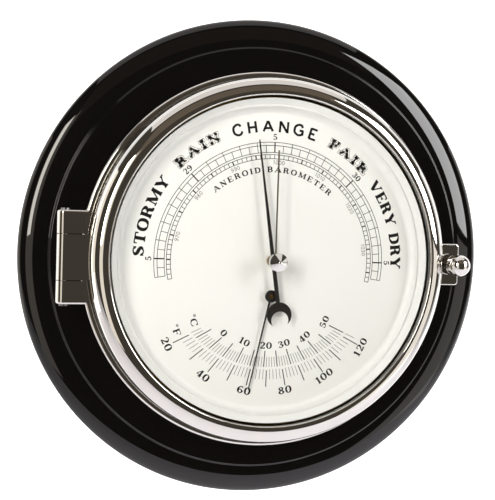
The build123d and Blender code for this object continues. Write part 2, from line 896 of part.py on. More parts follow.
def rocker_bracket():
    """The bracket with two ears for the rocking bar."""
    reach = rocker_half_length - bracket_thickness / 2
    half = 2 * rocker_radius
    foot_x = min(rocker_x + half, sqrt(plate_radius**2 - reach**2) - fixed_clearance)
    bracket = block(rocker_x - half, foot_x, -reach, reach, plate_front,
                    plate_front + bracket_thickness)
    for side in (-1, 1):
        edges = sorted((side * reach, side * (reach - bracket_thickness)))
        bracket += block(rocker_x - half, rocker_x + half, *edges, plate_front, rocker_z + half)
    hole = Cylinder(rocker_radius + running_clearance, 3 * rocker_half_length)
    return bracket - Pos(rocker_x, 0, rocker_z) * Rot(90, 0, 0) * hole


def chain():
    """The fine chain from the rocking bar's long arm to the drum."""
    low = drum_radius + chain_gap
    end = rocker_x - rocker_arm_width / 2 - chain_gap
    return block(-drum_radius, end, -low - chain_width, -low, chain_z - chain_thickness / 2,
                 chain_z + chain_thickness / 2)


def bridge_pillars():
    """Two pillars under the lower bridge."""
    return Compound([disc(pillar_radius, plate_front, bridge_z, 0, side * pillar_y)
                     for side in (-1, 1)])


def lower_bridge():
    """The bridge that carries the foot of the pointer arbor."""
    bridge = block(-bridge_half_width, bridge_half_width, -bridge_half_length,
                   bridge_half_length, bridge_z, bridge_front)
    bridge += disc(bridge_disc, bridge_z, bridge_front)
    return bridge - disc(arbor_radius + running_clearance, bridge_z, bridge_front)


def bridge_screws():
    """Two screws that hold the lower bridge on its pillars."""
    return Compound([disc(plate_screw_head, bridge_front, bridge_front + plate_screw_radius, 0,
                          side * pillar_y) for side in (-1, 1)])


def train_pillars():
    """Two pillars between the bridges."""
    places = [polar(side * train_pillar_reach, train_bridge_angle) for side in (-1, 1)]
    return Compound([disc(train_pillar_radius, bridge_front, train_z, x, y) for x, y in places])


def upper_bridge():
    """The small bridge that guides the top of the pointer arbor."""
    bar = SlotCenterToCenter(2 * train_pillar_reach, 2 * train_bridge_half_width)
    bridge = Pos(0, 0, train_z) * Rot(0, 0, train_bridge_angle) * extrude(bar, bridge_thickness)
    return bridge - disc(arbor_radius + running_clearance, train_z, train_z + bridge_thickness)


def hairspring():
    """The hairspring that takes up the slack of the chain."""
    top = train_z - fixed_clearance
    return spiral(hairspring_inner, hairspring_outer, hairspring_turns, hairspring_width,
                  top - hairspring_height, top)


def thermometer_bracket():
    """The strap behind the dial that carries the bimetal coil."""
    low = coil_top - coil_height - bracket_thickness - fixed_clearance
    sides = (-thermometer_drop - strap_half_width, -thermometer_drop + strap_half_width)
    strap = block(-bracket_half_width, bracket_half_width, *sides, low, low + bracket_thickness)
    for side in (-1, 1):
        edges = sorted((side * bracket_half_width, side * (bracket_half_width - strap_wall)))
        strap += block(*edges, *sides, low, dial_back)
    hole = disc(hub_pin_radius + running_clearance, low, dial_back, 0, -thermometer_drop)
    return strap - hole


def bimetal_coil():
    """The bimetal spiral that turns the thermometer hand."""
    return spiral(coil_inner, coil_outer, coil_turns, coil_width, coil_top - coil_height,
                  coil_top, 0, -thermometer_drop)


NODES = [
    base_board, hanger_plate, hanger_screws, case_screws, case_ring, case_cup, door_seal,
    hinge_pin, bezel_ring, glass, glass_gasket, glass_retainer, closing_screw, screw_washer,
    screw_clip, set_knob, set_shaft, set_washer, set_hand, set_nut, dial_plate, dial_ring,
    barometer_hand, hand_collet, pointer_arbor, thermometer_hand, thermometer_hub,
    thermometer_arbor, base_plate, movement_screws, capsule_seat, adjusting_screw,
    aneroid_capsule, capsule_stud, spring_pillar, spring_clamp, main_spring, main_lever,
    rocking_bar, rocker_bracket, chain, bridge_pillars, lower_bridge, bridge_screws,
    train_pillars, upper_bridge, hairspring, thermometer_bracket, bimetal_coil,
]

os.makedirs("parts", exist_ok=True)
for make in NODES:
    export_step(STAND * make(), f"parts/{make.__name__}.step")
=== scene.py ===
"""Looks of the ship barometer: finishes, printed dial, fine pieces, light and camera.

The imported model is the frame. Sizes here are millimetres in the dial's own axes, where x is to the
reader's right, y is up the dial and z is the height above the wall. stand() turns them into the
frame's metres, where +Z is up and the dial faces -Y.
"""

import logging
from collections.abc import Sequence
from dataclasses import dataclass, field
from enum import Enum
from typing import ClassVar

import bmesh
import bpy
import numpy as np
from mathutils import Matrix, Vector


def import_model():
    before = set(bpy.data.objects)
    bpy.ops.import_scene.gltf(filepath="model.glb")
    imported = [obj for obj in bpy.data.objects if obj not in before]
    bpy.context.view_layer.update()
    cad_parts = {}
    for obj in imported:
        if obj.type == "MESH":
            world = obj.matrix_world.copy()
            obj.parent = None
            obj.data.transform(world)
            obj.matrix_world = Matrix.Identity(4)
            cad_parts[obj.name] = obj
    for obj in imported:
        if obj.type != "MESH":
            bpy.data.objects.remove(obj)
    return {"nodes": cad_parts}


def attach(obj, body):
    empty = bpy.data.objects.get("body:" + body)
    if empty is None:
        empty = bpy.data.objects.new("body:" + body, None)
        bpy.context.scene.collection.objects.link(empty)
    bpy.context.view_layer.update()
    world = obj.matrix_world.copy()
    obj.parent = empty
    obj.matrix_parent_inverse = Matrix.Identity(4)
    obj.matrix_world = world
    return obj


LOG = logging.getLogger("barometer")
MM = 0.001

# Heights above the wall, the case ring's radius and the drop of the lower pivot, in millimetres
BOARD_FIELD = 15.0
RING_FRONT = 25.6
DIAL_FRONT = 27.0
BEZEL_FRONT = 36.0
GLASS_FRONT = 35.4
CASE_RADIUS = 70.4
THERMOMETER_DROP = 13.2

# Colour sockets of Blender's Mix node, whose names it uses more than once
MIX_FIRST, MIX_SECOND, MIX_RESULT = 6, 7, 2

SKIN = 0.05  # thickness of lacquer and plate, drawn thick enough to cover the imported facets
SKIN_STEPS = 480

TONE_SCALE = 60.0  # clouds of tone per metre, about 17 mm each
MARK_CIRCLE = 0.06  # radius in metres at which turned marks keep their length


# Meshes


def stand(points: np.ndarray) -> np.ndarray:
    """Turn points of the dial's axes into the frame's axes.

    Args:
        points: array of x, y, z in millimetres, in its last axis.

    Returns:
        The same points in metres: x stays, the height becomes -Y and up the dial becomes Z.
    """
    return np.stack([points[..., 0], -points[..., 2], points[..., 1]], axis=-1) * MM


def mesh_object(name: str, points: np.ndarray, faces: np.ndarray, smooth: bool) -> bpy.types.Object:
    """Make a mesh object from arrays.

    Args:
        name: the piece's name.
        points: array (n, 3) in the frame's metres.
        faces: array (m, 3 or 4) of point numbers, counter-clockwise seen from outside.
        smooth: whether the faces are shaded smooth.

    Returns:
        The new object, at the origin.
    """
    corners = faces.shape[1]
    mesh = bpy.data.meshes.new(name)
    mesh.vertices.add(len(points))
    mesh.vertices.foreach_set("co", points.astype(np.float32).ravel())
    mesh.loops.add(faces.size)
    mesh.loops.foreach_set("vertex_index", faces.astype(np.int32).ravel())
    mesh.polygons.add(len(faces))
    mesh.polygons.foreach_set("loop_start", np.arange(0, faces.size, corners, dtype=np.int32))
    mesh.polygons.foreach_set("use_smooth", np.full(len(faces), smooth))
    mesh.update(calc_edges=True)
    mesh.validate()
    piece = bpy.data.objects.new(name, mesh)
    bpy.context.scene.collection.objects.link(piece)
    return piece


def grid_faces(rows: int, columns: int, wrap: bool) -> np.ndarray:
    """Number the quads of a grid of points.

    Args:
        rows: number of points along the first axis.
        columns: number of points along the second axis.
        wrap: whether the last column joins the first.

    Returns:
        Array (m, 4): each quad runs row, next row, next column, back.
    """
    row = np.arange(rows - 1)[:, None]
    column = np.arange(columns if wrap else columns - 1)[None, :]
    below, right = row + 1, (column + 1) % columns
    corners = [row * columns + column, below * columns + column,
               below * columns + right, row * columns + right]
    return np.stack(np.broadcast_arrays(*corners), axis=-1).reshape(-1, 4)


def lathe(name: str, section: np.ndarray) -> bpy.types.Object:
    """Turn an open section about the axis that stands on the dial's centre.

    Formula: a section's point (r, z) at the angle a becomes (r cos a, r sin a, z).

    Args:
        name: the piece's name.
        section: array (n, 2) of radius and height, clockwise seen with the radius to the right.

    Returns:
        The turned skin.
    """
    angle = np.linspace(0, 2 * np.pi, SKIN_STEPS, endpoint=False)[None, :]
    radius, height = section[:, :1], section[:, 1:]
    points = np.stack(np.broadcast_arrays(radius * np.cos(angle), radius * np.sin(angle), height),
                      axis=-1)
    faces = grid_faces(len(section), SKIN_STEPS, True)
    piece = mesh_object(name, stand(points.reshape(-1, 3)), faces, True)
    return keep_creases(weld(piece))


def weld(piece: bpy.types.Object, gap: float = 0.002) -> bpy.types.Object:
    """Merge the points of a piece that coincide, as where two bends of a section meet.

    Args:
        piece: the mesh object.
        gap: largest distance between points that are one, in millimetres.

    Returns:
        The same object.
    """
    work = bmesh.new()
    work.from_mesh(piece.data)
    bmesh.ops.remove_doubles(work, verts=work.verts, dist=gap * MM)
    bmesh.ops.dissolve_degenerate(work, edges=work.edges, dist=gap * MM / 2)
    work.to_mesh(piece.data)
    work.free()
    return piece


def keep_creases(piece: bpy.types.Object, angle: float = 35.0) -> bpy.types.Object:
    """Keep the edges sharp whose faces turn by more than an angle in degrees.

    Args:
        piece: the mesh object.
        angle: the least turn of a sharp edge.

    Returns:
        The same object.
    """
    piece.data.set_sharp_from_angle(angle=np.radians(angle))
    return piece


def bend(centre: tuple[float, float], size: tuple[float, float], start: float, end: float,
         steps: int = 12) -> np.ndarray:
    """Points of an elliptical arc of a section.

    Args:
        centre: its centre, as radius and height.
        size: its half axes.
        start: first angle in degrees.
        end: last angle in degrees.
        steps: number of points.

    Returns:
        Array (steps, 2).
    """
    angle = np.radians(np.linspace(start, end, steps))
    return np.stack([centre[0] + size[0] * np.cos(angle), centre[1] + size[1] * np.sin(angle)], -1)


# Finishes


def linear(code: str) -> tuple[float, float, float, float]:
    """Turn an sRGB hex colour into linear light.

    Args:
        code: six hex digits.

    Returns:
        Red, green, blue and alpha.
    """
    value = np.array([int(code[n:n + 2], 16) for n in (0, 2, 4)]) / 255
    light = np.where(value <= 0.04045, value / 12.92, ((value + 0.055) / 1.055) ** 2.4)
    return (*light.tolist(), 1.0)


def add(tree: bpy.types.NodeTree, kind: str, settings: dict[str, object],
        links: dict[str, bpy.types.NodeSocket]) -> bpy.types.Node:
    """Add a node with its settings and links.

    Args:
        tree: the material's node tree.
        kind: the node's type name.
        settings: attribute or input name to value.
        links: input name to the socket that feeds it.

    Returns:
        The new node.
    """
    node = tree.nodes.new(kind)
    for name, value in settings.items():
        if name in node.inputs:
            node.inputs[name].default_value = value
        else:
            setattr(node, name, value)
    for name, source in links.items():
        tree.links.new(source, node.inputs[name])
    return node


class Pattern(Enum):
    """How a surface was made, which sets the run of its fine marks."""

    POLISHED = "polished"
    TURNED = "turned"
    BRUSHED = "brushed"
    CAST = "cast"

    @property
    def stretch(self) -> tuple[float, float, float]:
        """Scale of the marks' coordinates: a small one draws the marks out along its axis."""
        return {Pattern.BRUSHED: (0.06, 1.0, 1.0),
                Pattern.TURNED: (1.0, 0.05, 1.0)}.get(self, (1.0, 1.0, 1.0))


@dataclass(frozen=True)
class Finish:
    """One finish of the instrument, from which its material is made.

    colour and shade are the sRGB colours between which the tone wanders. grain is the size of the
    fine marks and relief their depth, in millimetres, and streak is how much the roughness wanders.
    Marks finer than a tenth of a millimetre wouldn't show, so they are drawn that coarse.
    """

    name: str
    colour: str
    shade: str
    roughness: float
    metallic: float = 0.0
    pattern: Pattern = Pattern.POLISHED
    grain: float = 0.5
    relief: float = 0.002
    streak: float = 0.05
    specular: float = 0.5
    ior: float = 1.5

    def material(self) -> bpy.types.Material:
        """Build the material, or return the one that is there already.

        Returns:
            A material whose colour, roughness and bump come from noise in Object coordinates. The
            marks are stretched along one axis for brushing and round the dial's axis for turning.
        """
        found = bpy.data.materials.get(self.name)
        if found:
            return found
        material = bpy.data.materials.new(self.name)
        material.use_nodes = True
        tree = material.node_tree
        tree.nodes.clear()
        where = add(tree, "ShaderNodeTexCoord", {}, {}).outputs["Object"]
        if self.pattern is Pattern.TURNED:
            where = self.round_the_axis(tree, where)
        where = add(tree, "ShaderNodeMapping", {"Scale": self.pattern.stretch},
                    {"Vector": where}).outputs["Vector"]
        marks = add(tree, "ShaderNodeTexNoise",
                    {"Scale": 1 / (self.grain * MM), "Detail": 3.0, "Roughness": 0.6},
                    {"Vector": where}).outputs["Fac"]
        cloud = add(tree, "ShaderNodeTexNoise", {"Scale": TONE_SCALE, "Detail": 2.0},
                    {"Vector": where}).outputs["Fac"]
        tone = add(tree, "ShaderNodeMix", {"data_type": "RGBA"}, {"Factor": cloud})
        tone.inputs[MIX_FIRST].default_value = linear(self.colour)
        tone.inputs[MIX_SECOND].default_value = linear(self.shade)
        rough = add(tree, "ShaderNodeMapRange",
                    {"To Min": max(self.roughness - self.streak, 0.0),
                     "To Max": self.roughness + self.streak}, {"Value": marks}).outputs["Result"]
        links = {"Base Color": tone.outputs[MIX_RESULT], "Roughness": rough}
        if self.relief:
            links["Normal"] = add(tree, "ShaderNodeBump",
                                  {"Distance": self.relief * MM, "Strength": 0.6},
                                  {"Height": marks}).outputs["Normal"]
        settings = {"Metallic": self.metallic, "Specular IOR Level": self.specular}
        if not self.metallic:
            settings["IOR"] = self.ior
        shader = add(tree, "ShaderNodeBsdfPrincipled", settings, links)
        add(tree, "ShaderNodeOutputMaterial", {}, {"Surface": shader.outputs["BSDF"]})
        return material

    @staticmethod
    def round_the_axis(tree: bpy.types.NodeTree,
                       where: bpy.types.NodeSocket) -> bpy.types.NodeSocket:
        """Change Object coordinates to radius, angle and height about the dial's axis.

        Args:
            tree: the material's node tree.
            where: the socket with Object coordinates.

        Returns:
            A socket with the radius in metres, the angle as metres on a 60 mm circle, and Y.
        """
        parts = add(tree, "ShaderNodeSeparateXYZ", {}, {"Vector": where})
        flat = add(tree, "ShaderNodeCombineXYZ", {},
                   {"X": parts.outputs["X"], "Y": parts.outputs["Z"]}).outputs["Vector"]
        radius = add(tree, "ShaderNodeVectorMath", {"operation": "LENGTH"}, {"Vector": flat})
        angle = add(tree, "ShaderNodeMath", {"operation": "ARCTAN2"}, {})
        tree.links.new(parts.outputs["Z"], angle.inputs[0])
        tree.links.new(parts.outputs["X"], angle.inputs[1])
        way = add(tree, "ShaderNodeMath", {"operation": "MULTIPLY"}, {})
        tree.links.new(angle.outputs["Value"], way.inputs[0])
        way.inputs[1].default_value = MARK_CIRCLE
        return add(tree, "ShaderNodeCombineXYZ", {},
                   {"X": radius.outputs["Value"], "Y": way.outputs["Value"],
                    "Z": parts.outputs["Y"]}).outputs["Vector"]


# Polyester lacquer rubbed to a mirror on turned wood: deep black with sharp white lights.
PIANO_LACQUER = Finish("black_polyester_lacquer", "060505", "090808", 0.03, relief=0.0,
                       streak=0.01)
# Chrome plated over buffed brass: a mirror with a faint warm cast.
CHROME = Finish("chrome_plated_brass", "dedcd8", "d4d1cc", 0.035, 1.0, relief=0.0, streak=0.015)
# The same plate on the knurled screw, less buffed: bright, but it spreads the lights a little.
KNOB_CHROME = Finish("chrome_plated_knob", "e0dedb", "d2d0cc", 0.07, 1.0, grain=0.3,
                     relief=0.001, streak=0.03)
# Turned mild steel: grey with fine rings.
TURNED_STEEL = Finish("turned_steel", "8b8b8c", "77777a", 0.28, 1.0, Pattern.TURNED, 0.15)
# Zinc plate on pressed steel: cool grey with a soft sheen.
ZINC_STEEL = Finish("zinc_plated_steel", "a3a29c", "8d8c84", 0.34, 1.0, Pattern.CAST, 1.2)
# Spun brass under clear lacquer: yellow with rings from the spinning tool.
SPUN_BRASS = Finish("spun_brass", "b4904a", "a27e3c", 0.3, 1.0, Pattern.TURNED, 0.3)
# Brushed sheet brass: yellow with straight fine lines.
SHEET_BRASS = Finish("brushed_sheet_brass", "b08d4b", "9c7a3d", 0.33, 1.0, Pattern.BRUSHED, 0.12)
# Turned and lacquered brass: yellow and bright, with marks too fine to tell.
TURNED_BRASS = Finish("turned_brass", "b89654", "a5823f", 0.25, 1.0, Pattern.POLISHED, 0.3)
# Pressed nickel silver: pale and slightly warm.
NICKEL_SILVER = Finish("pressed_nickel_silver", "b3ae9f", "9f998a", 0.27, 1.0, Pattern.TURNED, 0.2)
# Spring steel blued by heat: dark blue with a dull shine.
BLUED_STEEL = Finish("blued_spring_steel", "3c4660", "2c3347", 0.3, 1.0, Pattern.BRUSHED, 0.15)
# Rolled bimetal: coppery strip.
BIMETAL = Finish("rolled_bimetal", "b0855f", "97714e", 0.35, 1.0, Pattern.BRUSHED, 0.12)
# Stoved matt enamel on the dial: warm white, no gloss.
DIAL_ENAMEL = Finish("matt_dial_enamel", "f1f2ed", "eff0ea", 0.75, relief=0.0008, grain=0.12,
                     specular=0.25)
# Satin enamel on the spun ring round the dial.
RING_ENAMEL = Finish("satin_ring_enamel", "f0f1ed", "edeeea", 0.45, relief=0.0008, grain=0.2,
                     specular=0.35)
# Screen printed ink: dense matt black.
BLACK_INK = Finish("black_screen_ink", "141311", "1b1a17", 0.7, relief=0.0, specular=0.2)
# The same ink printed thin, as on fine lines: it reads as dark grey.
GREY_INK = Finish("grey_screen_ink", "6f6c66", "7a7770", 0.7, relief=0.0, specular=0.2)
# Hairline outlines of the shaded words: a pale grey.
PALE_GREY_INK = Finish("pale_grey_screen_ink", "8e8b85", "98958f", 0.7, relief=0.0,
                       specular=0.2)
# White ink between a letter and its outline: the same tone as the dial.
WHITE_INK = Finish("white_screen_ink", "f1f2ed", "eff0ea", 0.75, relief=0.0, specular=0.25)
# Black paint on the hands: smooth with a low shine.
HAND_PAINT = Finish("black_hand_paint", "1c1a18", "24211e", 0.38, grain=0.2, relief=0.001,
                    specular=0.4)
# Thin brass hand, brushed and lacquered: grey gold.
HAND_BRASS = Finish("brushed_hand_brass", "8f8574", "7f7665", 0.42, 1.0, Pattern.BRUSHED, 0.1)
# Moulded rubber: black without shine.
RUBBER = Finish("moulded_rubber", "17171a", "1d1d20", 0.8, grain=0.4, relief=0.01, specular=0.2)
# Cast silicone behind the glass: pale grey and soft looking.
SILICONE = Finish("cast_silicone", "9d9c97", "918f8a", 0.6, grain=0.4, relief=0.004, specular=0.3)
# The glass is held by a plated ring, satin from its turning.
RETAINER_PLATE = Finish("satin_plated_ring", "a9a7a2", "98968f", 0.25, 1.0, Pattern.TURNED, 0.2)


@dataclass(frozen=True)
class ClearGlass:
    """Flat float glass: clear, with thin reflections, and it lets the light through to the dial."""

    name: str = "clear_float_glass"
    tint: str = "ffffff"
    ior: float = 1.25  # under the 1.5 of real glass, so that the lights don't veil the print

    def material(self) -> bpy.types.Material:
        """Build the glass.

        Returns:
            A material that mixes a straight-through part with a sharp reflection. The share of the
            reflection grows towards grazing angles as the Fresnel law says. The inner face
            holds back lamp light that comes in flat and is clear to look through, so the dial is
            lit from the front and shows from any side.
        """
        material = bpy.data.materials.new(self.name)
        material.use_nodes = True
        tree = material.node_tree
        tree.nodes.clear()
        through = add(tree, "ShaderNodeBsdfTransparent", {"Color": linear(self.tint)}, {})
        mirror = add(tree, "ShaderNodeBsdfGlossy", {"Roughness": 0.0}, {})
        share = add(tree, "ShaderNodeFresnel", {"IOR": self.ior}, {})
        mixed = add(tree, "ShaderNodeMixShader", {}, {"Fac": share.outputs["Fac"]})
        tree.links.new(through.outputs["BSDF"], mixed.inputs[1])
        tree.links.new(mirror.outputs["BSDF"], mixed.inputs[2])
        side = add(tree, "ShaderNodeNewGeometry", {}, {})
        ray = add(tree, "ShaderNodeLightPath", {}, {})
        leaving = add(tree, "ShaderNodeMath", {"operation": "SUBTRACT", "use_clamp": True}, {})
        tree.links.new(side.outputs["Backfacing"], leaving.inputs[0])
        tree.links.new(ray.outputs["Is Shadow Ray"], leaving.inputs[1])
        faces = add(tree, "ShaderNodeMixShader", {}, {"Fac": leaving.outputs["Value"]})
        tree.links.new(mixed.outputs["Shader"], faces.inputs[1])
        tree.links.new(through.outputs["BSDF"], faces.inputs[2])
        add(tree, "ShaderNodeOutputMaterial", {}, {"Surface": faces.outputs["Shader"]})
        return material


# Dressing


def dress(piece: bpy.types.Object, finish: Finish, body: str) -> bpy.types.Object:
    """Give a new piece its material, body and slot.

    Args:
        piece: the new piece.
        finish: what it is made of.
        body: the body it rides on.

    Returns:
        The same piece.
    """
    piece.data.materials.append(finish.material())
    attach(piece, body)
    return piece


def raised(section: np.ndarray) -> np.ndarray:
    """Move a section outwards along its own normals by the thickness of a skin."""
    way = np.gradient(section, axis=0)
    way /= np.linalg.norm(way, axis=1, keepdims=True)
    return section + np.stack([way[:, 1], -way[:, 0]], -1) * SKIN


@dataclass
class SubAssembly:
    """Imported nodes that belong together, with their finishes and what is made to go with them."""

    finishes: ClassVar[dict[Finish | ClearGlass, tuple[str, ...]]] = {}
    nodes: dict[str, bpy.types.Object]

    def paint(self) -> list[bpy.types.Object]:
        """Put the finishes into the nodes' material slots.

        Returns:
            The dressed nodes.
        """
        painted = []
        for finish, names in self.finishes.items():
            for node in (self.nodes[name] for name in names):
                for slot in node.material_slots:
                    slot.material = finish.material()
                painted.append(node)
        return painted

    def make(self) -> list[bpy.types.Object]:
        """Make the sub-assembly's new pieces, if it has any."""
        return []

    def build(self) -> list[bpy.types.Object]:
        """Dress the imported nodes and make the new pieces."""
        return self.paint() + self.make()


# Printing


@dataclass(frozen=True)
class Lettering:
    """A style of letters: stroke widths are shares of the letters' height.

    slab is the thickness of the feet, and 0 for letters without feet.
    """

    thick: float
    thin: float
    slab: float = 0.0


SLAB_BOLD = Lettering(0.32, 0.12, 0.12)
OUTLINED = Lettering(0.26, 0.08, 0.08)
ROUND_SANS = Lettering(0.215, 0.20)
SMALL_SERIF = Lettering(0.27, 0.11, 0.11)
FIGURES = Lettering(0.23, 0.095, 0.08)
FINE_SANS = Lettering(0.13, 0.13)

Stroke = tuple[tuple[float, float, float], ...]
Foot = tuple[float, float, float, float]


@dataclass(frozen=True)
class Glyph:
    """A letter one unit high: its width, its strokes and its feet.

    A stroke lists x, y and a weight from 0, thin, to 1, thick. Three or more points make a smooth
    curve. A foot is a short straight slab from one point to another.
    """

    width: float
    strokes: tuple[Stroke, ...]
    feet: tuple[Foot, ...] = ()


def foot(x: float, y: float, half: float = 0.17) -> Foot:
    """A level foot centred on a point."""
    return (x - half, y, x + half, y)


def ear(x: float, y0: float, y1: float) -> Foot:
    """An upright slab at the end of an arm."""
    return (x, y0, x, y1)


TOP, LOW = 0.95, 0.05
BOWL = ((0.24, TOP, 0.0), (0.56, TOP, 0.2), (0.80, 0.74, 1.0), (0.56, 0.50, 0.2), (0.24, 0.50, 0.0))
OPEN_ROUND = ((0.86, 0.74, 0.4), (0.74, 0.92, 0.2), (0.50, 0.96, 0.0), (0.20, 0.78, 0.8),
              (0.13, 0.50, 1.0), (0.20, 0.22, 0.8), (0.50, 0.04, 0.0), (0.76, 0.10, 0.2),
              (0.90, 0.30, 0.3))

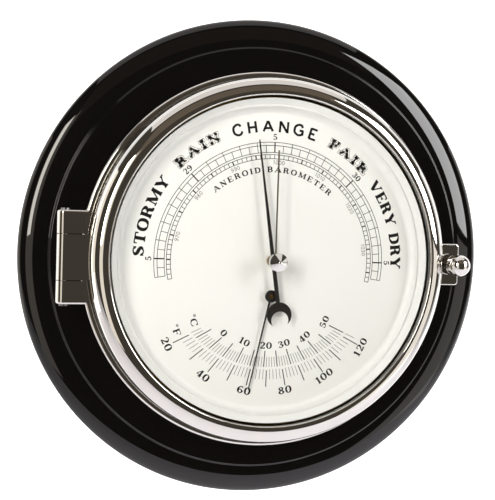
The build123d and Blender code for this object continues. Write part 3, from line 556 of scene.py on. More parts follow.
GLYPHS: dict[str, Glyph] = {
    "A": Glyph(1.20, (((0.16, LOW, 0), (0.58, 0.97, 0)), ((0.60, 0.97, 1), (1.02, LOW, 1)),
                      ((0.32, 0.34, 0), (0.84, 0.34, 0))), (foot(0.16, LOW), foot(1.04, LOW))),
    "B": Glyph(1.00, (((0.24, 0.0, 1), (0.24, 1.0, 1)), BOWL,
                      ((0.24, 0.50, 0), (0.62, 0.50, 0.2), (0.86, 0.27, 1.0), (0.62, LOW, 0.2),
                       (0.24, LOW, 0))), (foot(0.2, TOP), foot(0.2, LOW))),
    "C": Glyph(1.02, (OPEN_ROUND,), (ear(0.88, 0.98, 0.70),)),
    "D": Glyph(1.08, (((0.24, 0.0, 1), (0.24, 1.0, 1)),
                      ((0.24, TOP, 0), (0.52, TOP, 0.1), (0.86, 0.78, 0.8), (0.93, 0.50, 1.0),
                       (0.86, 0.22, 0.8), (0.52, LOW, 0.1), (0.24, LOW, 0))),
               (foot(0.2, TOP), foot(0.2, LOW))),
    "E": Glyph(0.98, (((0.24, 0.0, 1), (0.24, 1.0, 1)), ((0.24, TOP, 0), (0.84, TOP, 0)),
                      ((0.24, 0.50, 0), (0.66, 0.50, 0)), ((0.24, LOW, 0), (0.88, LOW, 0))),
               (foot(0.2, TOP), foot(0.2, LOW), ear(0.84, 0.99, 0.74), ear(0.88, 0.01, 0.28),
                ear(0.66, 0.38, 0.62))),
    "F": Glyph(0.95, (((0.24, 0.0, 1), (0.24, 1.0, 1)), ((0.24, TOP, 0), (0.84, TOP, 0)),
                      ((0.24, 0.50, 0), (0.66, 0.50, 0))),
               (foot(0.2, TOP), foot(0.24, LOW), ear(0.84, 0.99, 0.74), ear(0.66, 0.38, 0.62))),
    "G": Glyph(1.10, (OPEN_ROUND[:7] + ((0.74, 0.07, 0.1), (0.90, 0.18, 0.6)),
                      ((0.92, 0.46, 0.9), (0.92, 0.06, 0.9)), ((0.60, 0.46, 0), (1.0, 0.46, 0))),
               (ear(0.88, 0.98, 0.70),)),
    "H": Glyph(1.14, (((0.24, 0.0, 1), (0.24, 1.0, 1)), ((0.90, 0.0, 1), (0.90, 1.0, 1)),
                      ((0.24, 0.50, 0), (0.90, 0.50, 0))),
               (foot(0.24, TOP), foot(0.24, LOW), foot(0.90, TOP), foot(0.90, LOW))),
    "I": Glyph(0.52, (((0.26, 0.0, 1), (0.26, 1.0, 1)),),
               (foot(0.26, TOP, 0.2), foot(0.26, LOW, 0.2))),
    "M": Glyph(1.42, (((0.22, 0.0, 0), (0.22, 1.0, 0)), ((1.20, 0.0, 1), (1.20, 1.0, 1)),
                      ((0.24, 0.97, 1), (0.68, 0.08, 1)), ((0.68, 0.06, 0), (1.16, 0.97, 0))),
               (foot(0.2, TOP), foot(0.22, LOW), foot(1.22, TOP), foot(1.20, LOW, 0.2))),
    "N": Glyph(1.16, (((0.22, 0.0, 0), (0.22, 1.0, 0)), ((0.94, 0.0, 0), (0.94, 1.0, 0)),
                      ((0.24, 0.95, 1), (0.92, 0.05, 1))),
               (foot(0.18, TOP), foot(0.22, LOW), foot(0.94, TOP))),
    "O": Glyph(1.10, (((0.55, 0.96, 0), (0.24, 0.82, 0.75), (0.14, 0.50, 1), (0.24, 0.18, 0.75),
                       (0.55, 0.04, 0), (0.86, 0.18, 0.75), (0.96, 0.50, 1), (0.86, 0.82, 0.75),
                       (0.55, 0.96, 0)),)),
    "R": Glyph(1.10, (((0.24, 0.0, 1), (0.24, 1.0, 1)), BOWL,
                      ((0.54, 0.50, 0.3), (0.74, 0.38, 0.9), (0.80, 0.14, 1.0),
                       (1.02, LOW, 0.2))), (foot(0.2, TOP), foot(0.24, LOW, 0.2))),
    "S": Glyph(0.92, (((0.74, 0.78, 0.3), (0.62, 0.93, 0.1), (0.42, 0.96, 0.0), (0.19, 0.78, 0.7),
                       (0.30, 0.58, 1.0), (0.60, 0.43, 1.0), (0.75, 0.23, 0.7),
                       (0.50, 0.04, 0.0), (0.28, 0.07, 0.1), (0.15, 0.24, 0.3)),),
               (ear(0.78, 0.99, 0.70), ear(0.12, 0.01, 0.32))),
    "T": Glyph(1.06, (((0.53, 0.0, 1), (0.53, 1.0, 1)), ((0.10, TOP, 0), (0.96, TOP, 0))),
               (foot(0.53, LOW, 0.24), ear(0.09, 0.99, 0.70), ear(0.97, 0.99, 0.70))),
    "V": Glyph(1.16, (((0.18, TOP, 1), (0.60, 0.04, 1)), ((0.60, 0.06, 0), (0.98, TOP, 0))),
               (foot(0.18, TOP), foot(0.98, TOP))),
    "Y": Glyph(1.16, (((0.18, TOP, 1), (0.58, 0.46, 1)), ((0.60, 0.48, 0), (0.98, TOP, 0)),
                      ((0.58, 0.50, 1), (0.58, 0.0, 1))),
               (foot(0.18, TOP), foot(0.98, TOP), foot(0.58, LOW, 0.22))),
    "0": Glyph(0.78, (((0.39, 0.96, 0), (0.18, 0.80, 0.8), (0.12, 0.50, 1), (0.18, 0.20, 0.8),
                       (0.39, 0.04, 0), (0.60, 0.20, 0.8), (0.66, 0.50, 1), (0.60, 0.80, 0.8),
                       (0.39, 0.96, 0)),)),
    "1": Glyph(0.60, (((0.32, 0.0, 1), (0.32, 1.0, 1)), ((0.12, 0.80, 0), (0.32, 0.96, 0))),
               (foot(0.32, LOW, 0.22),)),
    "2": Glyph(0.76, (((0.14, 0.74, 0.9), (0.20, 0.91, 0.2), (0.40, 0.96, 0.1), (0.61, 0.74, 1.0),
                       (0.46, 0.44, 0.5), (0.13, 0.08, 0.0)),
                      ((0.12, 0.07, 0.6), (0.66, 0.07, 0.6))), (ear(0.67, 0.02, 0.26),)),
    "3": Glyph(0.76, (((0.14, 0.78, 0.9), (0.22, 0.92, 0.2), (0.38, 0.96, 0.0), (0.59, 0.76, 0.9),
                       (0.32, 0.53, 0.0)),
                      ((0.32, 0.53, 0.0), (0.63, 0.28, 1.0), (0.38, 0.04, 0.0), (0.20, 0.08, 0.2),
                       (0.12, 0.24, 0.9)))),
    "4": Glyph(0.80, (((0.52, 0.0, 1), (0.52, 1.0, 1)), ((0.50, 0.96, 0), (0.08, 0.28, 0)),
                      ((0.06, 0.26, 0.1), (0.74, 0.26, 0.1))), (foot(0.52, LOW, 0.2),)),
    "5": Glyph(0.76, (((0.18, 0.92, 0.7), (0.62, 0.92, 0.7)), ((0.18, 0.94, 0), (0.15, 0.50, 0)),
                      ((0.15, 0.50, 0.0), (0.36, 0.60, 0.1), (0.63, 0.32, 1.0), (0.36, 0.04, 0.0),
                       (0.20, 0.08, 0.2), (0.12, 0.24, 0.9)))),
    "6": Glyph(0.78, (((0.62, 0.80, 0.8), (0.54, 0.93, 0.2), (0.39, 0.96, 0.0), (0.16, 0.66, 0.9),
                       (0.14, 0.32, 1.0), (0.39, 0.04, 0.0), (0.64, 0.30, 0.9), (0.40, 0.56, 0.0),
                       (0.18, 0.42, 0.2)),)),
    "7": Glyph(0.74, (((0.10, 0.90, 0.8), (0.64, 0.90, 0.8)), ((0.64, 0.90, 0.1), (0.34, 0.45, 0.6),
                                                              (0.28, 0.0, 1.0)))),
    "8": Glyph(0.78, (((0.39, 0.96, 0), (0.19, 0.76, 0.8), (0.39, 0.55, 0.3), (0.59, 0.76, 0.8),
                       (0.39, 0.96, 0)),
                      ((0.39, 0.53, 0), (0.14, 0.28, 1.0), (0.39, 0.04, 0), (0.64, 0.28, 1.0),
                       (0.39, 0.53, 0)))),
    "9": Glyph(0.78, (((0.16, 0.20, 0.8), (0.24, 0.07, 0.2), (0.39, 0.04, 0.0), (0.62, 0.34, 0.9),
                       (0.64, 0.68, 1.0), (0.39, 0.96, 0.0), (0.14, 0.70, 0.9), (0.38, 0.44, 0.0),
                       (0.60, 0.58, 0.2)),)),
    "o": Glyph(0.42, (((0.21, 0.98, 0), (0.08, 0.84, 0), (0.21, 0.70, 0), (0.34, 0.84, 0),
                       (0.21, 0.98, 0)),)),
    " ": Glyph(0.55, ()),
}


def smooth_path(stroke: Stroke, per_span: int = 8) -> np.ndarray:
    """Points of a smooth curve through a stroke's points.

    Formula: between two points the curve is the Catmull-Rom cubic of them and their neighbours,
    with the neighbours across the join where the stroke closes on itself.

    Args:
        stroke: rows of x, y and weight.
        per_span: number of steps between two points.

    Returns:
        Array (n, 3) of x, y and weight.
    """
    rows = np.array(stroke, float)
    if len(rows) < 3:
        return rows
    closed = np.allclose(rows[0, :2], rows[-1, :2])
    before = rows[-2] if closed else 2 * rows[0] - rows[1]
    after = rows[1] if closed else 2 * rows[-1] - rows[-2]
    all_rows = np.vstack([before, rows, after])
    t = np.linspace(0, 1, per_span, endpoint=False)[None, :, None]
    p0, p1, p2, p3 = (all_rows[n:len(rows) - 1 + n][:, None, :] for n in range(4))
    curve = 0.5 * (2 * p1 + (p2 - p0) * t + (2 * p0 - 5 * p1 + 4 * p2 - p3) * t**2
                   + (3 * p1 - p0 - 3 * p2 + p3) * t**3)
    path = np.vstack([curve.reshape(-1, 3), rows[-1:]])
    path[:, 2] = np.clip(path[:, 2], 0, 1)
    return path


def ribbon(path: np.ndarray, half: np.ndarray, extend: float = 0.0) -> np.ndarray:
    """Quads of a ribbon along a path.

    Formula: each point moves to both sides, square to the path, by half the width there.

    Args:
        path: array (n, 2).
        half: half widths, array (n,).
        extend: how far both ends are drawn out.

    Returns:
        Array (n - 1, 4, 2).
    """
    way = np.gradient(path, axis=0)
    way /= np.linalg.norm(way, axis=1, keepdims=True) + 1e-12
    path = path.copy()
    path[0] -= way[0] * extend
    path[-1] += way[-1] * extend
    side = np.stack([-way[:, 1], way[:, 0]], -1) * half[:, None]
    left, right = path + side, path - side
    return np.stack([left[:-1], right[:-1], right[1:], left[1:]], axis=1)


def letter_quads(glyph: Glyph, style: Lettering, height: float, stretch: float,
                 grow: float = 0.0) -> np.ndarray:
    """Quads of one letter that stands on the origin, centred across.

    Args:
        glyph: the letter.
        style: its stroke widths.
        height: its height in millimetres.
        stretch: width over drawn width.
        grow: how far the outline is pushed out, in millimetres.

    Returns:
        Array (n, 4, 2) in millimetres.
    """
    scale = np.array([height * stretch, height])
    shift = np.array([glyph.width * height * stretch / 2, 0.0])
    quads = []
    for stroke in glyph.strokes:
        path = smooth_path(stroke)
        half = (style.thin + (style.thick - style.thin) * path[:, 2]) * height / 2 + grow
        quads.append(ribbon(path[:, :2] * scale - shift, half, grow))
    if style.slab:
        for x0, y0, x1, y1 in glyph.feet:
            ends = np.array([[x0, y0], [x1, y1]]) * scale - shift
            half = np.full(2, style.slab * height / 2 + grow)
            quads.append(ribbon(ends, half, grow))
    return np.concatenate(quads) if quads else np.zeros((0, 4, 2))


def set_down(quads: np.ndarray, radius: float, angle: float, upright: bool = True,
             centre: tuple[float, float] = (0.0, 0.0)) -> np.ndarray:
    """Turn and move quads to a place on the dial.

    Args:
        quads: array (n, 4, 2) drawn standing on the origin.
        radius: how far out the foot of the drawing stands.
        angle: degrees clockwise from the top.
        upright: whether the drawing's top points away from the centre, or towards it.
        centre: the centre that the radius counts from.

    Returns:
        Array (n, 4, 2).
    """
    turn = np.radians(angle)
    out = np.array([np.sin(turn), np.cos(turn)])
    along = np.array([np.cos(turn), -np.sin(turn)])
    sign = 1.0 if upright else -1.0
    return (quads[..., :1] * along * sign + quads[..., 1:] * out * sign + radius * out
            + np.array(centre))


@dataclass(frozen=True)
class Word:
    """A word along an arc of the dial: it fills the span between two angles."""

    text: str
    start: float
    end: float
    foot_radius: float
    height: float
    style: Lettering
    gap: float = 0.16

    def quads(self, grow: float = 0.0) -> np.ndarray:
        """Quads of the word.

        Formula: the letters' widths are stretched by one factor, so that widths and gaps add up to
        the arc's length at half the letters' height.

        Args:
            grow: how far the outline is pushed out, in millimetres.

        Returns:
            Array (n, 4, 2).
        """
        glyphs = [GLYPHS[letter] for letter in self.text]
        middle = self.foot_radius + self.height / 2
        length = np.radians(self.end - self.start) * middle
        gaps = self.gap * self.height * (len(glyphs) - 1)
        widths = np.array([glyph.width for glyph in glyphs]) * self.height
        stretch = (length - gaps) / widths.sum()
        starts = np.concatenate([[0], np.cumsum(widths * stretch + self.gap * self.height)[:-1]])
        centres = np.degrees((starts + widths * stretch / 2) / middle) + self.start
        parts = [set_down(letter_quads(glyph, self.style, self.height, stretch, grow),
                          self.foot_radius, angle) for glyph, angle in zip(glyphs, centres)]
        return np.concatenate(parts)


def number_quads(text: str, style: Lettering, height: float, gap: float = 0.06) -> np.ndarray:
    """Quads of a short straight number, centred on the origin's foot line.

    Args:
        text: the figures.
        style: their stroke widths.
        height: their height in millimetres.
        gap: space between figures, as a share of the height.

    Returns:
        Array (n, 4, 2).
    """
    glyphs = [GLYPHS[letter] for letter in text]
    widths = np.array([glyph.width for glyph in glyphs]) * height
    starts = np.concatenate([[0], np.cumsum(widths + gap * height)[:-1]])
    centres = starts + widths / 2 - (starts[-1] + widths[-1]) / 2
    return np.concatenate([letter_quads(glyph, style, height, 1.0) + np.array([centre, 0.0])
                           for glyph, centre in zip(glyphs, centres)])


def ticks(angles: np.ndarray, inner: float, outer: float, width: float) -> np.ndarray:
    """Quads of radial ticks round the dial's centre.

    Args:
        angles: degrees clockwise from the top.
        inner: inner radius.
        outer: outer radius.
        width: line width.

    Returns:
        Array (n, 4, 2).
    """
    turn = np.radians(np.asarray(angles, float))
    out = np.stack([np.sin(turn), np.cos(turn)], -1)
    side = np.stack([np.cos(turn), -np.sin(turn)], -1) * width / 2
    corners = [out * inner - side, out * inner + side, out * outer + side, out * outer - side]
    return np.stack(corners, axis=1)


def arc(radius: float, start: float, end: float, width: float) -> np.ndarray:
    """Quads of a line along an arc round the dial's centre, from angle to angle."""
    turn = np.radians(np.linspace(start, end, max(int(abs(end - start) / 1.5), 2)))
    path = radius * np.stack([np.sin(turn), np.cos(turn)], -1)
    return ribbon(path, np.full(len(path), width / 2))


class Ink(Enum):
    """The inks of the dial, with the height of each film in millimetres."""

    HALO = 0.010
    CLEARING = 0.016
    LINE = 0.022
    BLACK = 0.028

    @property
    def finish(self) -> Finish:
        """The finish of the ink."""
        return {Ink.HALO: PALE_GREY_INK, Ink.CLEARING: WHITE_INK, Ink.LINE: GREY_INK,
                Ink.BLACK: BLACK_INK}[self]


@dataclass
class Dial(SubAssembly):
    """The dial and its ring, and all that is printed: pressures, weather words, temperatures."""

    finishes = {DIAL_ENAMEL: ("dial_plate",), RING_ENAMEL: ("dial_ring",)}
    inch_radii: tuple[float, float, float] = (44.2, 43.0, 40.4)
    inch_reach: float = 99.0
    inch_degrees: float = 90.0  # degrees of dial per inch of mercury
    centre_inches: float = 29.5
    hecto_radii: tuple[float, float] = (39.6, 38.1)
    hecto_inches: float = 0.02953
    hecto_range: tuple[int, int] = (962, 1036)
    figures_foot: float = 45.1
    figures_height: float = 2.2
    small_figures_foot: float = 36.0
    small_figures_height: float = 1.5
    line: float = 0.22
    heavy: float = 0.46
    halo: float = 0.62
    clearing: float = 0.42
    short_tick: float = 0.2
    long_tick: float = 0.36
    fahrenheit_degrees: float = 1.2654
    films: dict[Ink, list[np.ndarray]] = field(default_factory=dict)

    def ink(self, film: Ink, quads: np.ndarray) -> None:
        """Lay quads down in one of the inks."""
        self.films.setdefault(film, []).append(quads)

    def pressure_scale(self) -> None:
        """Draw the two ladders of the pressure scale and their numbers."""
        outer, middle, inner = self.inch_radii
        reach = self.inch_reach
        for radius in self.inch_radii:
            self.ink(Ink.BLACK, arc(radius, -reach, reach, self.line))
        self.ink(Ink.BLACK, ticks(np.arange(-reach, reach + 1, 9), middle, outer, self.line))
        self.ink(Ink.BLACK, ticks(np.arange(-reach, reach + 1, 4.5), inner, middle, self.line))
        self.ink(Ink.BLACK, ticks(np.arange(-90, 91, 45), inner, outer, self.heavy))
        for text, angle in (("5", -90), ("29", -45), ("5", 0), ("30", 45), ("5", 90)):
            quads = number_quads(text, FIGURES, self.figures_height)
            self.ink(Ink.BLACK, set_down(quads, self.figures_foot, angle))
        top, foot_radius = self.hecto_radii
        low, high = self.hecto_range
        cells = self.hecto_angle(np.arange(low - 0.6, high + 1.7, 1.0).round())
        fives = self.hecto_angle(np.arange(965, high, 5))
        for radius in self.hecto_radii:
            self.ink(Ink.BLACK, arc(radius, cells[0], cells[-1], self.line))
        self.ink(Ink.BLACK, ticks(cells, foot_radius, top, self.line))
        self.ink(Ink.BLACK, ticks(fives, foot_radius, top, self.heavy))
        for value in range(970, 1031, 10):
            quads = number_quads(str(value), FINE_SANS, self.small_figures_height)
            angle = float(self.hecto_angle(np.array(value)))
            self.ink(Ink.LINE, set_down(quads, self.small_figures_foot, angle))

    def hecto_angle(self, value: np.ndarray) -> np.ndarray:
        """Angle of a pressure in hectopascals: its inches of mercury, less those at the top."""
        return (value * self.hecto_inches - self.centre_inches) * self.inch_degrees

    def weather_words(self) -> None:
        """Draw the words round the scale. Two of them have a double outline."""
        plain = (Word("STORMY", -89.2, -53.8, 48.0, 4.0, SLAB_BOLD, 0.10),
                 Word("CHANGE", -19.2, 19.2, 48.0, 4.2, ROUND_SANS, 0.30),
                 Word("VERY DRY", 51.8, 92.6, 47.9, 4.0, SLAB_BOLD, 0.10),
                 Word("ANEROID BAROMETER", -42.0, 41.2, 33.1, 2.05, SMALL_SERIF, 0.34))
        for word in plain:
            self.ink(Ink.BLACK, word.quads())
        for word in (Word("RAIN", -46.9, -25.3, 48.8, 2.7, OUTLINED, 0.52),
                     Word("FAIR", 25.7, 46.4, 48.8, 2.7, OUTLINED, 0.52)):
            self.ink(Ink.HALO, word.quads(self.halo))
            self.ink(Ink.CLEARING, word.quads(self.clearing))
            self.ink(Ink.BLACK, word.quads())

    def ray_quads(self, angles: np.ndarray, inner: float, outer: float,
                  width: float) -> np.ndarray:
        """Quads of ticks that point at the lower pivot and end on circles round the dial's centre.

        Formula: a ray from the pivot p along d meets the circle of radius r at the distance
        -p.d + sqrt((p.d)^2 - p.p + r^2).

        Args:
            angles: degrees to the right of straight down.
            inner: radius of the inner ends.
            outer: radius of the outer ends.
            width: line width.

        Returns:
            Array (n, 4, 2).
        """
        turn = np.radians(np.asarray(angles, float))
        way = np.stack([np.sin(turn), -np.cos(turn)], -1)
        side = np.stack([np.cos(turn), np.sin(turn)], -1) * width / 2
        pivot = np.array([0.0, -THERMOMETER_DROP])
        along = way @ pivot
        ends = [pivot + way * (np.sqrt(along**2 - pivot @ pivot + r**2) - along)[:, None]
                for r in (inner, outer)]
        return np.stack([ends[0] - side, ends[0] + side, ends[1] + side, ends[1] - side], axis=1)

    def fahrenheit_angle(self, value: np.ndarray) -> np.ndarray:
        """Degrees to the right of straight down at a temperature in Fahrenheit."""
        return (value - 70) * self.fahrenheit_degrees - 0.9

    def thermometer_scale(self) -> None:
        """Draw the two temperature scales with their numbers."""
        celsius = np.arange(-7, 51)
        fahrenheit = np.arange(20, 123, 2)
        rows = ((celsius * 1.8 + 32, celsius % 5 == 0, (36.3, 40.1), (34.0, 40.1)),
                (fahrenheit, fahrenheit % 10 == 0, (41.0, 44.8), (41.3, 47.6)))
        for values, long, short_ends, long_ends in rows:
            angle = self.fahrenheit_angle(values)
            self.ink(Ink.LINE, self.ray_quads(angle[~long], *short_ends, self.short_tick))
            self.ink(Ink.BLACK, self.ray_quads(angle[long], *long_ends, self.long_tick))
        labels = (("0", -17.3, -27.2, 2.5), ("10", -9.3, -30.5, 2.5), ("20", -1.0, -31.9, 2.5),
                  ("30", 6.0, -31.2, 2.5), ("40", 14.0, -28.7, 2.5), ("50", 21.8, -23.0, 2.5),
                  ("20", -38.6, -31.2, 2.8), ("40", -24.7, -43.0, 2.8), ("60", -9.0, -48.8, 2.8),
                  ("80", 7.0, -48.9, 2.8), ("100", 22.5, -43.8, 2.8), ("120", 36.8, -32.8, 2.8),
                  ("oF", -35.2, -26.2, 2.6), ("oC", -28.9, -22.6, 2.6))
        for text, x, y, height in labels:
            quads = number_quads(text, FIGURES, height, 0.1) * np.array([1.15, 1.0])
            turn = np.degrees(np.arctan2(x, y + THERMOMETER_DROP))
            quads = quads - np.array([0.0, height / 2])
            self.ink(Ink.BLACK, set_down(quads, 0.0, turn, False, (x, y)))

    def make(self) -> list[bpy.types.Object]:
        """Draw the dial and make one film of each ink.

        Returns:
            The printed films, which ride on the case.
        """
        self.pressure_scale()
        self.weather_words()
        self.thermometer_scale()
        pieces = []
        for film, parts in self.films.items():
            quads = np.concatenate(parts)
            first, second = quads[:, 1] - quads[:, 0], quads[:, 2] - quads[:, 0]
            area = first[:, 0] * second[:, 1] - first[:, 1] * second[:, 0]
            quads = np.where(area[:, None, None] < 0, quads[:, ::-1], quads)
            height = np.full((*quads.shape[:2], 1), DIAL_FRONT + film.value)
            points = stand(np.concatenate([quads, height], -1).reshape(-1, 3))
            faces = np.arange(len(points)).reshape(-1, 4)
            piece = mesh_object(f"dial_print_{film.name.lower()}", points, faces, False)
            dress(piece, film.finish, "case")
            pieces.append(piece)
        return pieces


# Sub-assemblies


@dataclass
class Board(SubAssembly):
    """The turned board with its lacquer, and the hanger at its back.

    The lacquer is a thin turned skin over the board's front, which keeps its reflections round.
    """

    finishes = {PIANO_LACQUER: ("base_board",), ZINC_STEEL: ("hanger_plate", "hanger_screws")}
    outer: float = 92.5
    edge_height: float = 1.5
    rim_width: float = 10.3
    rim_drop: float = 4.4
    shoulder: float = 13.8
    step: float = 81.05
    step_round: float = 0.6
    under_ring: float = 1.0

    def section(self) -> np.ndarray:
        """Section of the front: edge, round rim, shoulder, step and the field up to the ring."""
        half = self.step_round
        return np.vstack([
            [[self.outer, self.edge_height]],
            bend((self.outer - self.rim_width, self.shoulder - self.rim_drop),
                 (self.rim_width, self.rim_drop), 0, 90, 40),
            bend((self.step + half, self.shoulder + half), (half, half), 270, 180, 10),
            bend((self.step - half, self.shoulder + half), (half, half), 0, 90, 12),
            [[CASE_RADIUS - self.under_ring, BOARD_FIELD]]])

    def make(self) -> list[bpy.types.Object]:
        """Turn the lacquer, which stands proud of the front and flush with the rim."""
        section = self.section()
        section[:, 1] += SKIN
        section[:, 0] = np.minimum(section[:, 0], self.outer)
        skin = lathe("board_lacquer_skin", section)
        return [dress(skin, PIANO_LACQUER, "case")]


@dataclass
class Case(SubAssembly):
    """The cast ring with its plate, the cup behind it, its screws and the door's seal."""

    finishes = {CHROME: ("case_ring",), SPUN_BRASS: ("case_cup",), ZINC_STEEL: ("case_screws",),
                RUBBER: ("door_seal",)}
    rebate: float = 68.2
    rebate_foot: float = 24.0
    lip_round: float = 1.0
    rebate_round: float = 0.35

    def section(self) -> np.ndarray:
        """Section of the ring: outer wall, round lip and the wall of the rebate."""
        lip, edge = self.lip_round, self.rebate_round
        return np.vstack([
            [[CASE_RADIUS, BOARD_FIELD]],
            bend((CASE_RADIUS - lip, RING_FRONT - lip), (lip, lip), 0, 90, 14),
            bend((self.rebate + edge, RING_FRONT - edge), (edge, edge), 90, 180, 8),
            [[self.rebate, self.rebate_foot]]])

    def make(self) -> list[bpy.types.Object]:
        """Turn the plate on the ring."""
        skin = lathe("case_plate_skin", raised(self.section()))
        return [dress(skin, CHROME, "case")]


@dataclass
class Door(SubAssembly):
    """The hinged bezel with its plate, the pin, and the glass with its ring and gasket."""

    finishes = {CHROME: ("bezel_ring",), TURNED_STEEL: ("hinge_pin",), SILICONE: ("glass_gasket",),
                RETAINER_PLATE: ("glass_retainer",), ClearGlass(): ("glass",)}
    outer: float = 67.84
    skirt_foot: float = 25.1
    crown_foot: float = 29.9
    lip_radius: float = 60.8
    lip_round: float = 0.6

    def section(self) -> np.ndarray:
        """Section of the bezel: skirt, straight wall, crown and the round inner lip."""
        lip = self.lip_round
        shoulder = self.lip_radius + lip
        return np.vstack([
            [[self.outer, self.skirt_foot]],
            bend((shoulder, self.crown_foot),
                 (self.outer - shoulder, BEZEL_FRONT - self.crown_foot), 0, 90, 40),
            bend((shoulder, GLASS_FRONT), (lip, lip), 90, 180, 12)])

    def make(self) -> list[bpy.types.Object]:
        """Turn the plate on the bezel."""
        skin = lathe("bezel_plate_skin", raised(self.section()))
        return [dress(skin, CHROME, "door")]


@dataclass
class ClosingScrew(SubAssembly):
    """The knurled screw that keeps the door shut, with its washer and clip."""

    finishes = {KNOB_CHROME: ("closing_screw",), TURNED_STEEL: ("screw_washer", "screw_clip")}


@dataclass
class SetHand(SubAssembly):
    """The knob on the glass and the hand that it turns."""

    finishes = {KNOB_CHROME: ("set_knob",), TURNED_BRASS: ("set_shaft", "set_nut"),
                RUBBER: ("set_washer",), HAND_BRASS: ("set_hand",)}


@dataclass
class Movement(SubAssembly):
    """The capsule, its spring and levers, and the train up to the barometer's hand."""

    finishes = {
        SHEET_BRASS: ("base_plate", "main_lever", "rocker_bracket", "lower_bridge",
                      "upper_bridge"),
        TURNED_BRASS: ("hand_collet", "capsule_seat", "capsule_stud", "spring_pillar",
                       "spring_clamp", "bridge_pillars", "train_pillars"),
        ZINC_STEEL: ("movement_screws", "adjusting_screw", "bridge_screws"),
        TURNED_STEEL: ("pointer_arbor", "rocking_bar", "chain"),
        NICKEL_SILVER: ("aneroid_capsule",),
        BLUED_STEEL: ("main_spring", "hairspring"),
        HAND_PAINT: ("barometer_hand",),
    }


@dataclass
class Thermometer(SubAssembly):
    """The bimetal coil on its bracket, and the arbor, hub and hand that it turns."""

    finishes = {BIMETAL: ("bimetal_coil",), SHEET_BRASS: ("thermometer_bracket",),
                TURNED_BRASS: ("thermometer_arbor",),
                HAND_PAINT: ("thermometer_hand", "thermometer_hub")}


# Stage


@dataclass(frozen=True)
class Panel:
    """A soft light: a flat panel that shines towards a point of the object."""

    name: str
    place: tuple[float, float, float]
    size: tuple[float, float]
    power: float
    aim: tuple[float, float, float] = (0.0, -0.03, 0.0)
    colour: str = "ffffff"
    mirrored: bool = True

    def build(self) -> bpy.types.Object:
        """Make the light. It doesn't show itself, and only a mirrored one shows in gloss."""
        data = bpy.data.lights.new(self.name, "AREA")
        data.shape = "RECTANGLE"
        data.size, data.size_y = self.size
        data.energy = self.power
        data.color = linear(self.colour)[:3]
        lamp = bpy.data.objects.new(self.name, data)
        lamp.location = self.place
        way = Vector(self.aim) - Vector(self.place)
        lamp.rotation_euler = way.to_track_quat("-Z", "Y").to_euler()
        lamp.visible_camera = False
        lamp.visible_glossy = self.mirrored
        bpy.context.scene.collection.objects.link(lamp)
        return lamp


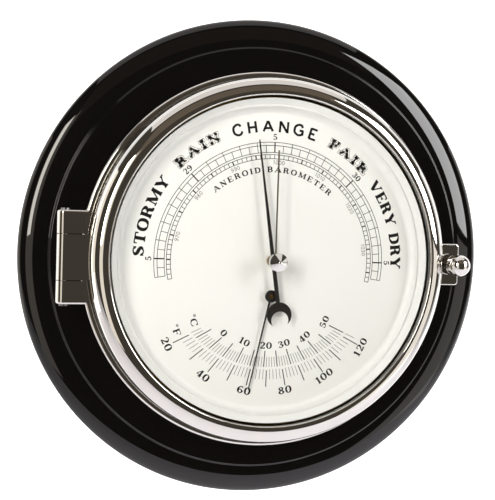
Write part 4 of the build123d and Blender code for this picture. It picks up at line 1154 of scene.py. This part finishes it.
@dataclass
class Studio:
    """The pale floor, the soft lights and the camera."""

    eye: tuple[float, float, float] = (-0.0898, -0.3517, 0.0180)
    look: tuple[float, float, float] = (0.2405, 0.9697, -0.0423)
    up: tuple[float, float, float] = (-0.0210, 0.0488, 0.9986)
    lens: float = 64.8
    floor_height: float = -0.6
    floor_front: float = -0.85
    wall_distance: float = 0.8
    panels: tuple[Panel, ...] = (
        Panel("key_softbox", (0.92, -0.83, 0.42), (0.56, 0.80), 12.0),
        Panel("left_window", (-0.413, -0.434, 0.17), (0.10, 0.32), 1.3, colour="fffaf0"),
        Panel("left_fill", (-0.33, -0.42, 0.20), (0.36, 0.36), 1.75, colour="fdfeff",
              mirrored=False),
        Panel("left_screen", (-0.75, -0.95, 0.0), (0.42, 1.3), 1.7, colour="fff6e8"),
        Panel("right_screen", (0.85, -0.80, -0.42), (0.60, 0.90), 1.9, colour="fcf6ee"),
        Panel("left_wall_light", (-1.30, 0.10, 0.10), (0.7, 1.4), 3.6, colour="fff6e8"),
        Panel("right_wall_light", (1.40, 0.15, -0.10), (0.6, 1.4), 2.5),
        Panel("ceiling_light", (0.0, -0.12, 1.20), (1.8, 0.9), 4.6, colour="fdf8f6"),
        Panel("brown_board", (0.0, -0.95, 0.80), (1.4, 0.7), 0.40, colour="d8bfa4"),
    )

    def build(self) -> None:
        """Make the stage."""
        self.camera()
        self.floor()
        self.world()
        for panel in self.panels:
            panel.build()

    def camera(self) -> None:
        """Set the camera with its up direction."""
        look = Vector(self.look).normalized()
        side = look.cross(Vector(self.up)).normalized()
        top = side.cross(look)
        data = bpy.data.cameras.new("camera")
        data.lens = self.lens
        data.sensor_width = 36.0
        data.clip_start, data.clip_end = 0.01, 20.0
        camera = bpy.data.objects.new("camera", data)
        turn = Matrix((side, top, -look)).transposed().to_4x4()
        camera.matrix_world = Matrix.Translation(self.eye) @ turn
        bpy.context.scene.collection.objects.link(camera)
        bpy.context.scene.camera = camera

    def floor(self) -> None:
        """Lay the pale floor and stand the lit white wall on it, with a round corner between.

        Formula: the section is a level line, a quarter circle of 0.3 m and an upright line, drawn
        out to both sides.
        """
        low, back, radius = self.floor_height, self.wall_distance, 0.3
        turn = np.radians(np.linspace(-90, 0, 24))
        corner = np.stack([back - radius + radius * np.cos(turn),
                           low + radius + radius * np.sin(turn)], -1)
        self.sheet("floor", np.array([[self.floor_front, low], corner[0]]), "e9e7ee", 0.12)
        self.sheet("backdrop", np.vstack([corner, [back, 3.5]]), "f4f4f4", 0.9)

    def sheet(self, name: str, section: np.ndarray, colour: str, glow: float) -> None:
        """Draw a section of y and z out to both sides as a matt sheet with a glow of its own."""
        half = 4.0
        sides = [np.stack([np.full(len(section), side), *section.T], -1) for side in (half, -half)]
        piece = mesh_object(name, np.vstack(sides), grid_faces(2, len(section), False), True)
        material = bpy.data.materials.new(f"{name}_paper")
        material.use_nodes = True
        shader = material.node_tree.nodes["Principled BSDF"]
        shader.inputs["Base Color"].default_value = linear(colour)
        shader.inputs["Roughness"].default_value = 0.9
        shader.inputs["Emission Color"].default_value = linear("ffffff")
        shader.inputs["Emission Strength"].default_value = glow
        piece.data.materials.append(material)

    def world(self) -> None:
        """Set a dim warm room as the light, before a plain white background."""
        world = bpy.data.worlds.new("dim_room")
        world.use_nodes = True
        tree = world.node_tree
        tree.nodes.clear()
        room = add(tree, "ShaderNodeBackground", {"Color": linear("47423b")}, {})
        white = add(tree, "ShaderNodeBackground", {"Color": linear("ffffff")}, {})
        seen = add(tree, "ShaderNodeLightPath", {}, {}).outputs["Is Camera Ray"]
        both = add(tree, "ShaderNodeMixShader", {}, {"Fac": seen})
        tree.links.new(room.outputs["Background"], both.inputs[1])
        tree.links.new(white.outputs["Background"], both.inputs[2])
        add(tree, "ShaderNodeOutputWorld", {}, {"Surface": both.outputs["Shader"]})
        bpy.context.scene.world = world


def main() -> None:
    """Build the sub-assemblies in order."""
    logging.basicConfig(level=logging.INFO, format="%(message)s")
    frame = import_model()
    bpy.context.view_layer.update()
    nodes = frame["nodes"]
    for kind in (Board, Case, Door, ClosingScrew, SetHand, Movement, Thermometer, Dial):
        made = kind(nodes).build()
        LOG.info("%s: %s", kind.__name__, ", ".join(piece.name for piece in made))
    Studio().build()
    LOG.info("Studio: floor, backdrop, lights and camera")
    bpy.context.scene.view_settings.view_transform = "Standard"
    bpy.context.view_layer.update()


if __name__ == "__main__":
    main()
